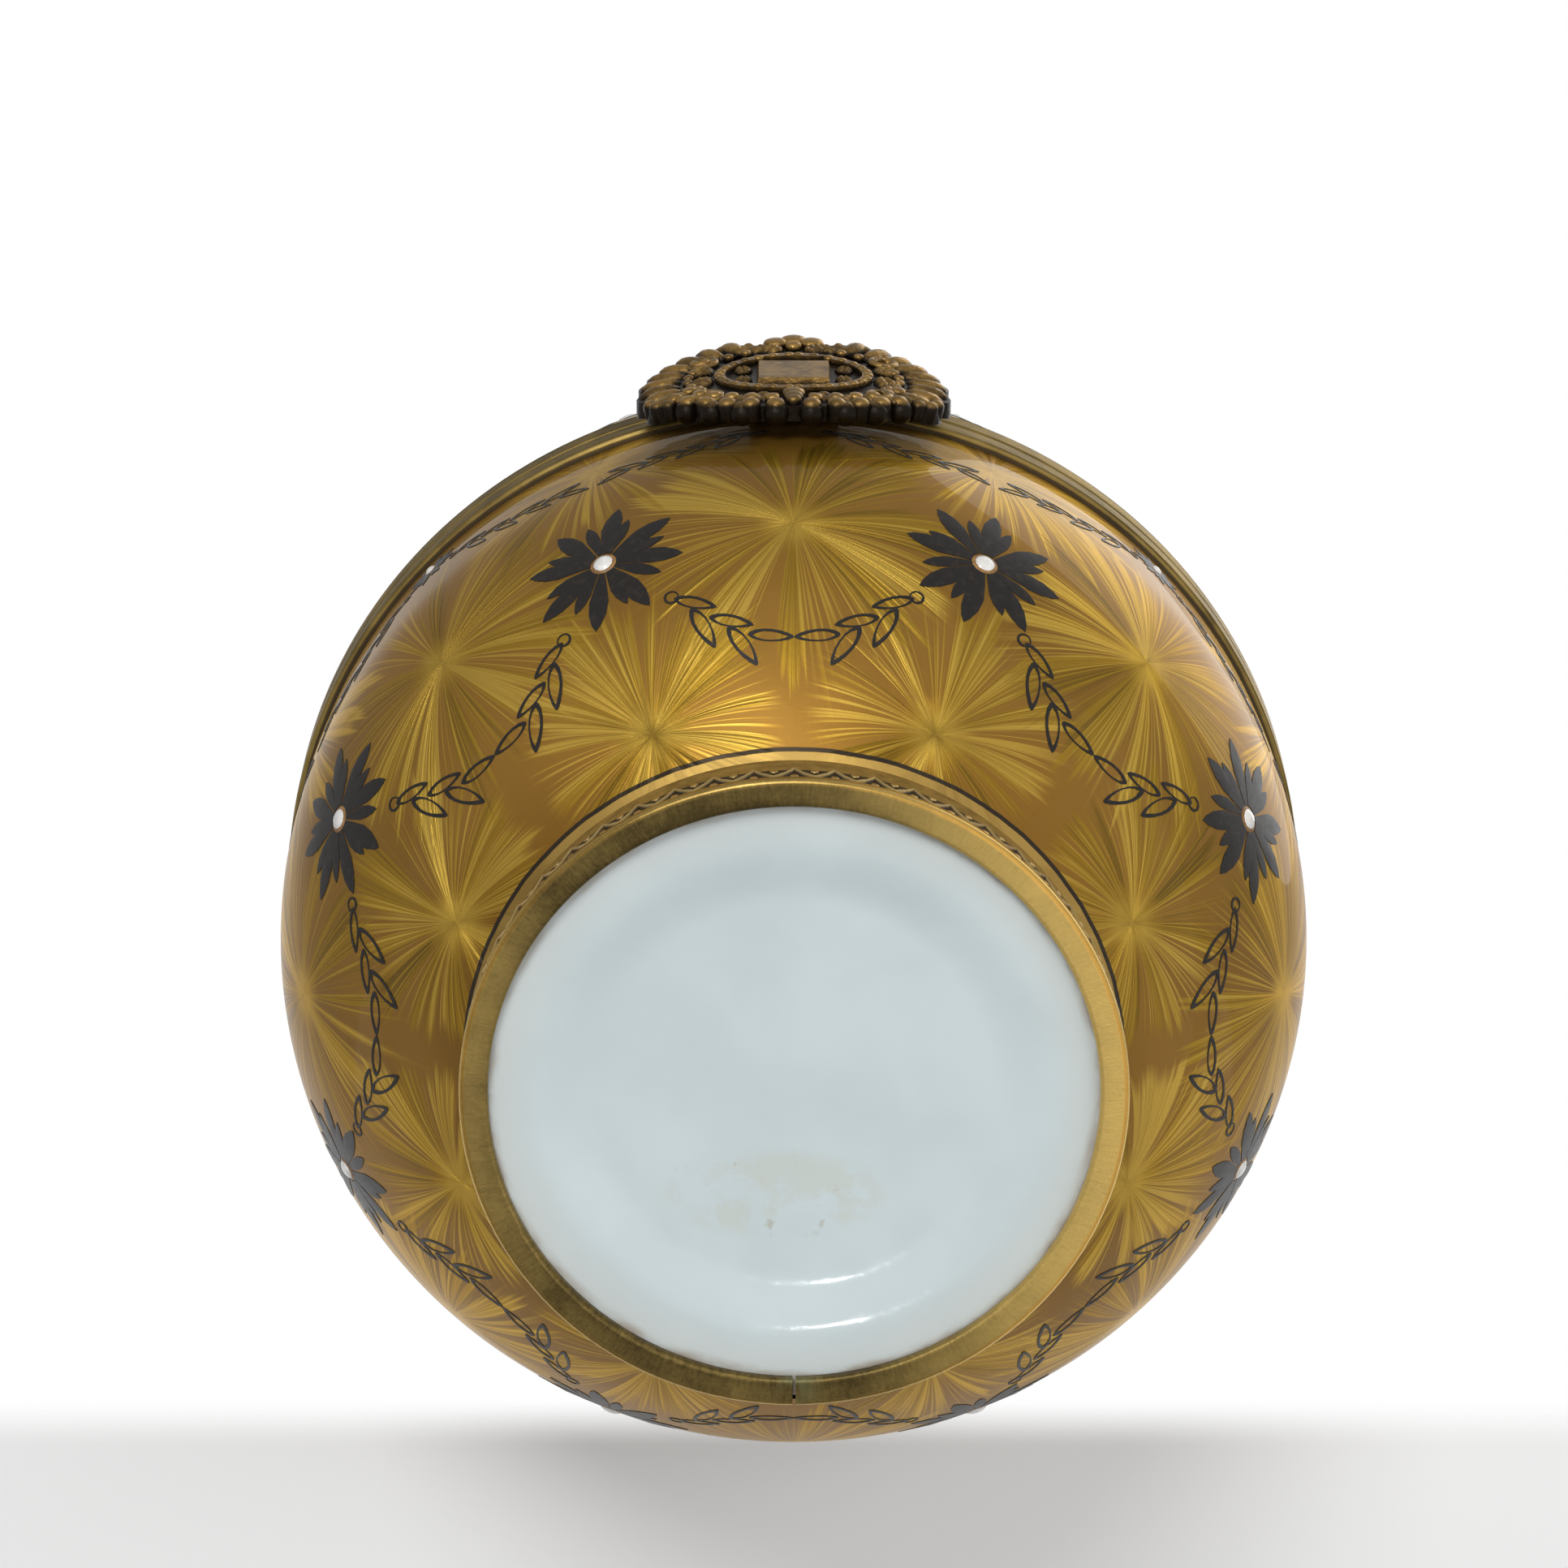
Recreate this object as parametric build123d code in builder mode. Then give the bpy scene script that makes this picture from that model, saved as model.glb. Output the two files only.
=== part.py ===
"""Egg-shaped porcelain box that opens at its girth and stands on a brass foot ring.

Bowl and lid are porcelain shells bedded in brass rims. A three-knuckle hinge joins the rims at
the back, and a cast ornament on the lid's rim hangs over the bowl's rim at the front as the clasp.
Millimetres, +Z up. The origin is the centre of the face the box stands on. The clasp faces -Y and
the hinge is at +Y.
"""

from build123d import *

import os
from math import asin, cos, degrees, radians, sin, sqrt

os.makedirs("parts", exist_ok=True)

# Egg outline: two half ellipses that meet at the belly, the widest place
belly_radius = 42.75
belly_height = 36.0
lower_half_axis = 35.6
upper_half_axis = 80.0

# Porcelain walls
bowl_wall = 3.2
lid_wall = 2.8
bowl_floor = 6.0
neck_radius = 25.45
neck_edge = 0.4
base_dish_radius = 22.6
base_dish_depth = 0.9

# Brass rims at the girth
parting_height = 50.0
parting_gap = 0.1
rim_height = 2.5
rim_proud = 0.95
rim_flange = 0.75
rim_round = 0.45
rim_shadow_gap = 0.1
lip_rebate = 0.7
bedding = 0.25
collar_wall = 0.6
collar_rise = 0.7
collar_inset = 0.1
collar_clearance = 0.3
solder_gap = 0.02

# Brass foot ring, its gallery strip and its butt seam at the back
foot_radius = 26.3
foot_opening = 24.0
foot_flange = 0.85
foot_round = 0.4
foot_ring_height = 3.3
foot_wall = 0.3
foot_bedding = 0.2
foot_bedding_setback = 0.4
foot_seam = 0.25
gallery_teeth = 56
gallery_depth = 0.28
gallery_bed = 0.06

# Hinge
barrel_radius = 1.35
barrel_gap = 0.35
pin_radius = 0.5
pin_clearance = 0.05
pin_head_radius = 0.85
pin_head = 0.45
pin_head_round = 0.3
centre_knuckle = 6.8
outer_knuckle = 5.4
knuckle_gap = 0.15
leaf_thickness = 1.2
leaf_setback = 0.3
leaf_overlap = 1.0
stop_strip_clearance = 0.3
stop_heel_reach = 2.1
stop_heel_drop = 0.86
stop_heel_rise = 0.35
knuckle_flank_angle = 45.0

# Clasp: sprung tongue, catch bead and cast plate
tongue_width = 8.0
tongue_thickness = 0.8
tongue_standoff = 0.7
tongue_length = 2.1
tongue_round = 0.3
nib_height = 0.6
nib_clearance = 0.05
catch_width = 5.0
catch_radius = 0.45
catch_proud = 0.25
catch_above_nib = 0.15
plate_thickness = 1.3
plate_drop = 2.8
plate_half_width = 11.2
plate_half_height = 9.7
lobe_count = 6
lobe_radius = 1.9
lobe_first_angle = -24.0
lobe_last_angle = 62.0
crest_lobe_radius = 1.25
crest_reach = 10.2
crest_spread = 1.45
bead_count = 10
bead_radius = 1.05
bead_first_angle = 204.0
bead_last_angle = 336.0
moulding_half_width = 6.6
moulding_half_height = 5.6
moulding_width = 0.9
moulding_height = 0.45
plaque_width = 6.2
plaque_height = 5.8
plaque_drop = 0.6
plaque_rise = 0.7
plaque_seat = 0.2
plaque_taper = 14.0
piercing_half_length = 2.1
piercing_half_width = 0.75
piercing_reach = 8.7
piercing_rise = 7.3
piercing_angles = (25.0, 60.0, 120.0, 155.0, 205.0, 335.0)
rivet_radius = 0.6
rivet_clearance = 0.03
rivet_spacing = 5.0
rivet_rise = 1.3


def egg_radius(height):
    """Radius of the glazed outside at a height above the table."""
    half_axis = upper_half_axis if height > belly_height else lower_half_axis
    return belly_radius * sqrt(1 - ((height - belly_height) / half_axis) ** 2)


def arc_angle(height, half_axis):
    """Angle at which an elliptical arc centred on the belly reaches a height, in degrees."""
    return degrees(asin((height - belly_height) / half_axis))


def egg_arc(radius, half_axis, low, high):
    """Elliptical arc about the belly's centre from a low to a high angle, in an open BuildLine."""
    weight = cos(radians((high - low) / 2))

    def point(angle, reach):
        return radius * reach * cos(radians(angle)), belly_height + half_axis * reach * sin(radians(angle))

    return Bezier(point(low, 1), point((low + high) / 2, 1 / weight), point(high, 1), weights=[1, weight, 1])


def section(*corners):
    """Closed polygon through corners given in the sketch's own axes, in an open BuildSketch."""
    return Polygon(*corners, align=None)


# Heights and radii that several pieces share
bowl_rim_top = parting_height - parting_gap / 2
bowl_rim_bottom = bowl_rim_top - rim_height
bowl_shoulder = bowl_rim_bottom - rim_shadow_gap
bowl_lip_top = bowl_rim_top - rim_flange - bedding
lid_rim_bottom = parting_height + parting_gap / 2
lid_rim_top = lid_rim_bottom + rim_height
lid_shoulder = lid_rim_top + rim_shadow_gap
lid_lip_bottom = lid_rim_bottom + rim_flange + bedding
rim_radius = egg_radius(parting_height) + rim_proud
bowl_lip_radius = egg_radius(bowl_shoulder) - lip_rebate
lid_lip_radius = egg_radius(lid_shoulder) - lip_rebate
bowl_inner_radius = belly_radius - bowl_wall
bowl_inner_half_axis = upper_half_axis - bowl_wall
lid_inner_radius = belly_radius - lid_wall
lid_inner_half_axis = upper_half_axis - lid_wall
bowl_lip_angle = arc_angle(bowl_lip_top, bowl_inner_half_axis)
lid_lip_angle = arc_angle(lid_lip_bottom, lid_inner_half_axis)
bowl_mouth_radius = bowl_inner_radius * cos(radians(bowl_lip_angle))
lid_mouth_radius = lid_inner_radius * cos(radians(lid_lip_angle))
collar_outside = bowl_mouth_radius - collar_inset
collar_inside = collar_outside - collar_wall
lid_rim_bore = collar_outside + collar_clearance
foot_seat = foot_flange + foot_bedding
foot_wall_inside = neck_radius + foot_bedding
foot_wall_outside = foot_wall_inside + foot_wall
neck_top = belly_height - lower_half_axis * sqrt(1 - (neck_radius / belly_radius) ** 2)
solder_radius = rim_radius + solder_gap
hinge_y = rim_radius + barrel_gap + barrel_radius
bore_radius = pin_radius + pin_clearance
knuckle_offset = centre_knuckle / 2 + knuckle_gap + outer_knuckle / 2
hinge_half_length = knuckle_offset + outer_knuckle / 2
tongue_inside = rim_radius + tongue_standoff
tongue_outside = tongue_inside + tongue_thickness
plate_back = tongue_outside + solder_gap
plate_face = plate_back + plate_thickness
tongue_bottom = bowl_rim_top - tongue_length
tongue_top = lid_rim_top - leaf_setback
plate_height = parting_height - plate_drop
plate_plane = Plane(origin=(0, 0, plate_height), x_dir=(1, 0, 0), z_dir=(0, -1, 0))
egg_height = belly_height + upper_half_axis
rivet_height = parting_height + rivet_rise

# Bowl: porcelain shell with a cylindrical neck and a shallow dish under its base
dish_arc_radius = (base_dish_radius**2 + base_dish_depth**2) / (2 * base_dish_depth)
dish_arc_angle = degrees(asin(base_dish_radius / dish_arc_radius))
with BuildPart() as bowl:
    with BuildSketch(Plane.XZ):
        with BuildLine():
            dish = CenterArc(
                (0, foot_seat + base_dish_depth - dish_arc_radius),
                dish_arc_radius,
                start_angle=90 - dish_arc_angle,
                arc_size=dish_arc_angle,
            )
            Polyline(
                dish @ 0,
                (neck_radius - neck_edge, foot_seat),
                (neck_radius, foot_seat + neck_edge),
                (neck_radius, neck_top),
            )
            egg_arc(belly_radius, lower_half_axis, arc_angle(neck_top, lower_half_axis), 0)
            side = egg_arc(belly_radius, upper_half_axis, 0, arc_angle(bowl_shoulder, upper_half_axis))
            Polyline(
                side @ 1,
                (bowl_lip_radius, bowl_shoulder),
                (bowl_lip_radius, bowl_lip_top),
                (bowl_mouth_radius, bowl_lip_top),
            )
            egg_arc(bowl_inner_radius, bowl_inner_half_axis, 0, bowl_lip_angle)
            inside = egg_arc(bowl_inner_radius, belly_height - bowl_floor, -90, 0)
            Line(inside @ 0, dish @ 1)
        make_face()
    revolve(axis=Axis.Z)
bowl.part.label = "bowl"
export_step(bowl.part, "parts/bowl.step")

# Bowl rim: outer band, flat seat and the collar that centres the lid
bowl_skirt_radius = bowl_lip_radius + bedding
with BuildPart() as bowl_rim:
    with BuildSketch(Plane.XZ) as bowl_rim_section:
        section(
            (collar_inside, bowl_rim_top - rim_flange),
            (bowl_skirt_radius, bowl_rim_top - rim_flange),
            (bowl_skirt_radius, bowl_rim_bottom),
            (rim_radius, bowl_rim_bottom),
            (rim_radius, bowl_rim_top),
            (collar_outside, bowl_rim_top),
            (collar_outside, bowl_rim_top + collar_rise),
            (collar_inside, bowl_rim_top + collar_rise),
        )
        fillet(bowl_rim_section.vertices().group_by(Axis.X)[-1], rim_round)
    revolve(axis=Axis.Z)
bowl_rim.part.label = "bowl_rim"
export_step(bowl_rim.part, "parts/bowl_rim.step")

# Bedding compound between the bowl's lip and its rim
with BuildPart() as bowl_rim_bedding:
    with BuildSketch(Plane.XZ):
        section(
            (bowl_mouth_radius, bowl_lip_top),
            (bowl_lip_radius, bowl_lip_top),
            (bowl_lip_radius, bowl_rim_bottom),
            (bowl_skirt_radius, bowl_rim_bottom),
            (bowl_skirt_radius, bowl_rim_top - rim_flange),
            (bowl_mouth_radius, bowl_rim_top - rim_flange),
        )
    revolve(axis=Axis.Z)
bowl_rim_bedding.part.label = "bowl_rim_bedding"
export_step(bowl_rim_bedding.part, "parts/bowl_rim_bedding.step")

# Foot ring: flat band under the base with a thin wall round the neck
with BuildPart() as foot_ring:
    with BuildSketch(Plane.XZ) as foot_section:
        section(
            (foot_opening, 0),
            (foot_radius, 0),
            (foot_radius, foot_flange),
            (foot_wall_outside, foot_flange),
            (foot_wall_outside, foot_ring_height),
            (foot_wall_inside, foot_ring_height),
            (foot_wall_inside, foot_flange),
            (foot_opening, foot_flange),
        )
        fillet(foot_section.vertices().group_by(Axis.Y)[0], foot_round)
    revolve(axis=Axis.Z)
    with BuildSketch(Plane.XY):
        with Locations((0, foot_radius)):
            Rectangle(foot_seam, foot_radius)
    extrude(amount=foot_ring_height, mode=Mode.SUBTRACT)
foot_ring.part.label = "foot_ring"
export_step(foot_ring.part, "parts/foot_ring.step")


def gallery_outline(phase):
    """Points of a ring of teeth: tips and roots take turns, and phase 1 swaps them."""
    root = foot_wall_outside + gallery_bed
    points = []
    for index in range(2 * gallery_teeth):
        radius = root + gallery_depth * ((index + phase) % 2)
        angle = radians(180 * index / gallery_teeth)
        points.append((radius * sin(angle), radius * cos(angle)))
    return points


# Foot gallery: milled strip of lozenges soldered round the foot ring's wall
gallery_middle = (foot_flange + foot_ring_height) / 2
gallery_levels = ((foot_flange, 0), (gallery_middle, 1), (foot_ring_height, 0))
with BuildPart() as foot_gallery:
    for level, phase in gallery_levels:
        with BuildSketch(Plane.XY.offset(level)):
            Polygon(*gallery_outline(phase), align=None)
    loft(ruled=True)
    with BuildSketch(Plane.XY):
        Circle(foot_wall_outside)
        with Locations((0, foot_radius)):
            Rectangle(foot_seam, foot_radius)
    extrude(amount=foot_ring_height, mode=Mode.SUBTRACT)
foot_gallery.part.label = "foot_gallery"
export_step(foot_gallery.part, "parts/foot_gallery.step")

# Bedding compound between the bowl's neck and the foot ring
with BuildPart() as foot_ring_bedding:
    with BuildSketch(Plane.XZ):
        section(
            (foot_opening + foot_bedding_setback, foot_flange),
            (foot_wall_inside, foot_flange),
            (foot_wall_inside, foot_ring_height - foot_bedding_setback),
            (neck_radius, foot_ring_height - foot_bedding_setback),
            (neck_radius, foot_seat + neck_edge),
            (neck_radius - neck_edge, foot_seat),
            (foot_opening + foot_bedding_setback, foot_seat),
        )
    revolve(axis=Axis.Z)
foot_ring_bedding.part.label = "foot_ring_bedding"
export_step(foot_ring_bedding.part, "parts/foot_ring_bedding.step")

# Lid: porcelain dome that carries on the bowl's curve to the tip
with BuildPart() as lid:
    with BuildSketch(Plane.XZ):
        with BuildLine():
            dome = egg_arc(belly_radius, upper_half_axis, arc_angle(lid_shoulder, upper_half_axis), 90)
            hollow = egg_arc(lid_inner_radius, lid_inner_half_axis, lid_lip_angle, 90)
            Line(dome @ 1, hollow @ 1)
            Polyline(
                hollow @ 0,
                (lid_lip_radius, lid_lip_bottom),
                (lid_lip_radius, lid_shoulder),
                dome @ 0,
            )
        make_face()
    revolve(axis=Axis.Z)
lid.part.label = "lid"
export_step(lid.part, "parts/lid.step")

# Lid rim: outer band and a flat seat that drops over the bowl rim's collar
lid_skirt_radius = lid_lip_radius + bedding
with BuildPart() as lid_rim:
    with BuildSketch(Plane.XZ) as lid_rim_section:
        section(
            (lid_rim_bore, lid_rim_bottom),
            (rim_radius, lid_rim_bottom),
            (rim_radius, lid_rim_top),
            (lid_skirt_radius, lid_rim_top),
            (lid_skirt_radius, lid_rim_bottom + rim_flange),
            (lid_rim_bore, lid_rim_bottom + rim_flange),
        )
        fillet(lid_rim_section.vertices().group_by(Axis.X)[-1], rim_round)
    revolve(axis=Axis.Z)
lid_rim.part.label = "lid_rim"
export_step(lid_rim.part, "parts/lid_rim.step")

# Bedding compound between the lid's lip and its rim
lid_bedding_bore = max(lid_mouth_radius, lid_rim_bore)
with BuildPart() as lid_rim_bedding:
    with BuildSketch(Plane.XZ):
        section(
            (lid_bedding_bore, lid_rim_bottom + rim_flange),
            (lid_skirt_radius, lid_rim_bottom + rim_flange),
            (lid_skirt_radius, lid_rim_top),
            (lid_lip_radius, lid_rim_top),
            (lid_lip_radius, lid_lip_bottom),
            (lid_bedding_bore, lid_lip_bottom),
        )
    revolve(axis=Axis.Z)
lid_rim_bedding.part.label = "lid_rim_bedding"
export_step(lid_rim_bedding.part, "parts/lid_rim_bedding.step")

# Hinge leaf on the bowl's rim: two outer knuckles and the strip that stops the lid's heel
leaf_root = rim_radius - leaf_overlap
leaf_face = rim_radius + leaf_thickness
knuckle_flank = barrel_radius * cos(radians(knuckle_flank_angle))
bowl_leaf_bottom = bowl_rim_bottom + leaf_setback
with BuildPart() as bowl_hinge_leaf:
    for side_sign in (-1, 1):
        with BuildSketch(Plane.YZ.offset(side_sign * knuckle_offset)):
            with Locations((hinge_y, parting_height)):
                Circle(barrel_radius)
            section(
                (leaf_root, bowl_leaf_bottom),
                (leaf_face, bowl_leaf_bottom),
                (hinge_y + knuckle_flank, parting_height - knuckle_flank),
                (hinge_y, parting_height),
                (leaf_root, bowl_rim_top - leaf_setback),
            )
        extrude(amount=outer_knuckle / 2, both=True)
    with BuildSketch(Plane.YZ):
        section(
            (leaf_root, bowl_leaf_bottom),
            (leaf_face, bowl_leaf_bottom),
            (leaf_face, parting_height - barrel_radius - stop_strip_clearance),
            (leaf_root, parting_height - barrel_radius - stop_strip_clearance),
        )
    extrude(amount=knuckle_offset, both=True)
    Cylinder(solder_radius, 2 * lid_rim_top, mode=Mode.SUBTRACT)
    with BuildSketch(Plane.YZ):
        with Locations((hinge_y, parting_height)):
            Circle(bore_radius)
    extrude(amount=hinge_half_length, both=True, mode=Mode.SUBTRACT)
bowl_hinge_leaf.part.label = "bowl_hinge_leaf"
export_step(bowl_hinge_leaf.part, "parts/bowl_hinge_leaf.step")

# Hinge leaf on the lid's rim: the centre knuckle with a heel that limits the opening
with BuildPart() as lid_hinge_leaf:
    with BuildSketch(Plane.YZ):
        with Locations((hinge_y, parting_height)):
            Circle(barrel_radius)
        section(
            (leaf_root, lid_rim_top - leaf_setback),
            (leaf_face, lid_rim_top - leaf_setback),
            (hinge_y + knuckle_flank, parting_height + knuckle_flank),
            (hinge_y, parting_height),
            (leaf_root, lid_rim_bottom + leaf_setback),
        )
        section(
            (hinge_y, parting_height - stop_heel_drop),
            (hinge_y + stop_heel_reach, parting_height - stop_heel_drop),
            (hinge_y + stop_heel_reach, parting_height + stop_heel_rise),
            (hinge_y, parting_height + stop_heel_rise),
        )
    extrude(amount=centre_knuckle / 2, both=True)
    Cylinder(solder_radius, 2 * lid_rim_top, mode=Mode.SUBTRACT)
    with BuildSketch(Plane.YZ):
        with Locations((hinge_y, parting_height)):
            Circle(bore_radius)
    extrude(amount=hinge_half_length, both=True, mode=Mode.SUBTRACT)
lid_hinge_leaf.part.label = "lid_hinge_leaf"
export_step(lid_hinge_leaf.part, "parts/lid_hinge_leaf.step")

# Hinge pin with peened heads
with BuildPart() as hinge_pin:
    with BuildSketch(Plane.XZ.offset(-hinge_y)) as pin_section:
        with Locations((0, parting_height)):
            Rectangle(2 * hinge_half_length, pin_radius, align=(Align.CENTER, Align.MIN))
        for side_sign in (-1, 1):
            head_middle = side_sign * (hinge_half_length + pin_head / 2)
            with Locations((head_middle, parting_height)):
                Rectangle(pin_head, pin_head_radius, align=(Align.CENTER, Align.MIN))
    revolve(axis=Axis((0, hinge_y, parting_height), (1, 0, 0)))
    head_rims = hinge_pin.edges().filter_by(GeomType.CIRCLE).sort_by(Axis.X)
    fillet([head_rims[0], head_rims[-1]], pin_head_round)
hinge_pin.part.label = "hinge_pin"
export_step(hinge_pin.part, "parts/hinge_pin.step")

# Catch bead: half-round bar on the bowl rim that the tongue's nib snaps under
nib_top = tongue_bottom + nib_height
catch_centre = rim_radius + catch_proud - catch_radius
catch_height = nib_top + catch_above_nib + catch_radius
with BuildPart() as catch_bead:
    with BuildSketch(Plane.YZ):
        with Locations((-catch_centre, catch_height)):
            Circle(catch_radius)
    extrude(amount=catch_width / 2, both=True)
    Cylinder(solder_radius, 2 * lid_rim_top, mode=Mode.SUBTRACT)
catch_bead.part.label = "catch_bead"
export_step(catch_bead.part, "parts/catch_bead.step")



def between(inside, outside):
    """Bends what is built so far: keeps what lies between two radii about the egg's axis."""
    Cylinder(outside, 2 * egg_height, mode=Mode.INTERSECT)
    Cylinder(inside, 2 * egg_height, mode=Mode.SUBTRACT)


# Clasp tongue: pad soldered to the lid rim, sprung strip and inward nib
nib_inside = rim_radius + catch_proud + nib_clearance
with BuildPart() as clasp_tongue:
    with BuildSketch(Plane.YZ):
        section(
            (-leaf_root, tongue_top),
            (-tongue_outside, tongue_top),
            (-tongue_outside, tongue_bottom),
            (-nib_inside, tongue_bottom),
            (-nib_inside, nib_top),
            (-tongue_inside, nib_top),
            (-tongue_inside, lid_rim_bottom + leaf_setback),
            (-leaf_root, lid_rim_bottom + leaf_setback),
        )
    extrude(amount=tongue_width / 2, both=True)
    between(solder_radius, tongue_outside)
    lowest = clasp_tongue.faces().sort_by(Axis.Z)[0]
    fillet(lowest.edges().sort_by(Axis.Y)[0], tongue_round)
    with BuildSketch(Plane.XZ):
        with Locations((0, rivet_height)):
            with GridLocations(rivet_spacing, 0, 2, 1):
                Circle(rivet_radius + rivet_clearance)
    extrude(amount=plate_back, mode=Mode.SUBTRACT)
clasp_tongue.part.label = "clasp_tongue"
export_step(clasp_tongue.part, "parts/clasp_tongue.step")


def spread(first, last, count):
    """Evenly spaced angles from first to last, in degrees."""
    return [first + (last - first) * index / (count - 1) for index in range(count)]


def on_oval(half_width, half_height, angle):
    """Point on an oval about the plate's centre at an angle in degrees."""
    return half_width * cos(radians(angle)), half_height * sin(radians(angle))


# Moulding round the clasp plate's middle
with BuildPart() as moulding:
    with BuildSketch(plate_plane):
        Ellipse(moulding_half_width, moulding_half_height)
        Ellipse(
            moulding_half_width - moulding_width,
            moulding_half_height - moulding_width,
            mode=Mode.SUBTRACT,
        )
    extrude(amount=plate_face + moulding_height)
    between(plate_face - plaque_seat, plate_face + moulding_height)

# Clasp plate: pierced cartouche bent to the rims' curve, with scalloped flanks, a trefoil crest,
# beads and a bare plaque
bead_middle = plate_back + plate_thickness / 2
with BuildPart() as clasp_plate:
    with BuildSketch(plate_plane):
        Ellipse(plate_half_width, plate_half_height)
        for angle in spread(lobe_first_angle, lobe_last_angle, lobe_count):
            x, y = on_oval(plate_half_width, plate_half_height, angle)
            with Locations((x, y), (-x, y)):
                Circle(lobe_radius)
        with Locations((0, crest_reach)):
            Circle(crest_lobe_radius)
        with Locations((crest_spread, plate_half_height), (-crest_spread, plate_half_height)):
            Circle(crest_lobe_radius)
        for angle in piercing_angles:
            with Locations(Location((*on_oval(piercing_reach, piercing_rise, angle), 0), angle + 90)):
                Ellipse(piercing_half_length, piercing_half_width, mode=Mode.SUBTRACT)
    extrude(amount=plate_face)
    between(plate_back, plate_face)
    add(moulding.part)
    with BuildSketch(plate_plane.offset(plate_face - plaque_seat)):
        with Locations((0, -plaque_drop)):
            Rectangle(plaque_width, plaque_height)
    extrude(amount=plaque_seat + plaque_rise, taper=plaque_taper)
    for angle in spread(bead_first_angle, bead_last_angle, bead_count):
        x, y = on_oval(plate_half_width, plate_half_height, angle)
        with Locations((x, -sqrt(bead_middle**2 - x**2), plate_height + y)):
            Sphere(bead_radius)
    with BuildSketch(Plane.XZ):
        with Locations((0, rivet_height)):
            with GridLocations(rivet_spacing, 0, 2, 1):
                Circle(rivet_radius + rivet_clearance)
    extrude(amount=plate_face + plaque_rise, mode=Mode.SUBTRACT)
clasp_plate.part.label = "clasp_plate"
export_step(clasp_plate.part, "parts/clasp_plate.step")

# Rivets that hold the plate to the tongue, flush with the plate's face
with BuildPart() as clasp_rivets:
    with BuildSketch(Plane.XZ.offset(rim_radius + tongue_standoff / 2)):
        with Locations((0, rivet_height)):
            with GridLocations(rivet_spacing, 0, 2, 1):
                Circle(rivet_radius)
    extrude(amount=plate_face - rim_radius - tongue_standoff / 2)
    Cylinder(plate_face, 2 * egg_height, mode=Mode.INTERSECT)
clasp_rivets.part.label = "clasp_rivets"
export_step(clasp_rivets.part, "parts/clasp_rivets.step")
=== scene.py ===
"""Porcelain egg box on a brass foot ring: glaze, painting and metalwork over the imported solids.

Lengths are in metres in the frame of the solids: +Z up, the clasp towards -Y, the hinge at +Y.
Shader sums and the tables of ornament work in millimetres.
"""

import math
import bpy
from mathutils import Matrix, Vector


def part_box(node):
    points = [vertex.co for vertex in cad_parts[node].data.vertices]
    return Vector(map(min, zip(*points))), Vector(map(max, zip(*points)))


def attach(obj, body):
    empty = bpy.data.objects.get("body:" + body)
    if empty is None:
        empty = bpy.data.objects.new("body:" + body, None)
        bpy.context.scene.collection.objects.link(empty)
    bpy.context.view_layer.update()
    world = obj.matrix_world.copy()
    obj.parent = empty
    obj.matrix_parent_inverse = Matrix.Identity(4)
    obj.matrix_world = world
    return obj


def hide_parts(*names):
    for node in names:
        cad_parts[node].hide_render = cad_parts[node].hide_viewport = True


bl_info = {
    "name": "Porcelain egg box",
    "version": (1, 0, 0),
    "blender": (4, 5, 0),
    "location": "View3D > Sidebar > Egg box",
    "description": "Dresses a hinged porcelain egg with painting, rims, a cast clasp and a foot ring",
    "category": "Object",
}

from collections import namedtuple

import bmesh
import bpy
import numpy as np
from bpy.props import FloatProperty, FloatVectorProperty, IntProperty, PointerProperty
from mathutils import Vector

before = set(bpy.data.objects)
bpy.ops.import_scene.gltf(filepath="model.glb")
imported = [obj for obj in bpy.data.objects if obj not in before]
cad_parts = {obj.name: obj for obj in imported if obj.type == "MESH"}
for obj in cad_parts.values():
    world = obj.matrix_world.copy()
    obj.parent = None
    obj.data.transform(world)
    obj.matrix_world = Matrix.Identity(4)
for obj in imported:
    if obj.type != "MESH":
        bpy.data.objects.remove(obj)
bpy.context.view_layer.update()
MM = 0.001
FULL_TURN = 2 * math.pi
FRONT = -math.pi / 2
TURNED_CREASE, CAST_CREASE = 0.6, 0.9
WELD = 1e-7
BAND_SLACK = 1e-6
EGG_AXES = ("belly_radius", "belly_height", "lower_half_axis", "upper_half_axis")

# Rings of ray bursts: height, whether they are turned by half a step, reach
BOWL_BURSTS = ((9.8, True, 13.0), (23.5, False, 15.0), (40.5, True, 14.5))
LID_BURSTS = ((58.0, True, 13.5), (74.0, False, 15.0), (93.0, True, 12.5), (106.0, False, 11.0))
# The burst on the top of the lid: height, radius, count, first turn, reach
CROWN_BURST = (116.0, 0.0, 1, 0.0, 12.5)
CROWN_ROOM = 20.0
NECK_LINE, NO_LINE = 7.88, -10.0
# Rings of rosettes: height, whether they are turned by half a step, large or small, dip of their swags
ROSETTE_RINGS = {
    "bowl": ((23.0, True, True, 9.5), (43.2, False, False, 6.0)),
    "lid": ((73.0, True, True, 10.0), (56.6, False, False, 0.0), (97.0, True, False, 6.5)),
}
# Lamps: place and width in metres
LAMPS = {
    "key": ((-0.16, -0.72, -0.62), 0.42),
    "fill": ((0.62, -0.3, -0.6), 0.75),
    "top": ((0.62, -0.22, 0.92), 1.0),
    "glint": ((-0.04, 0.154, -1.0), 0.035),
}
LAMP_TARGET = (0, 0, 0.045)
CAMERA_PLACE = (-0.0008, -0.1856, -0.4746)
CAMERA_TILT = math.atan2(0.3188, 0.9478)
PICTURE_WIDTH = 36


# Node trees written as sums


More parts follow.
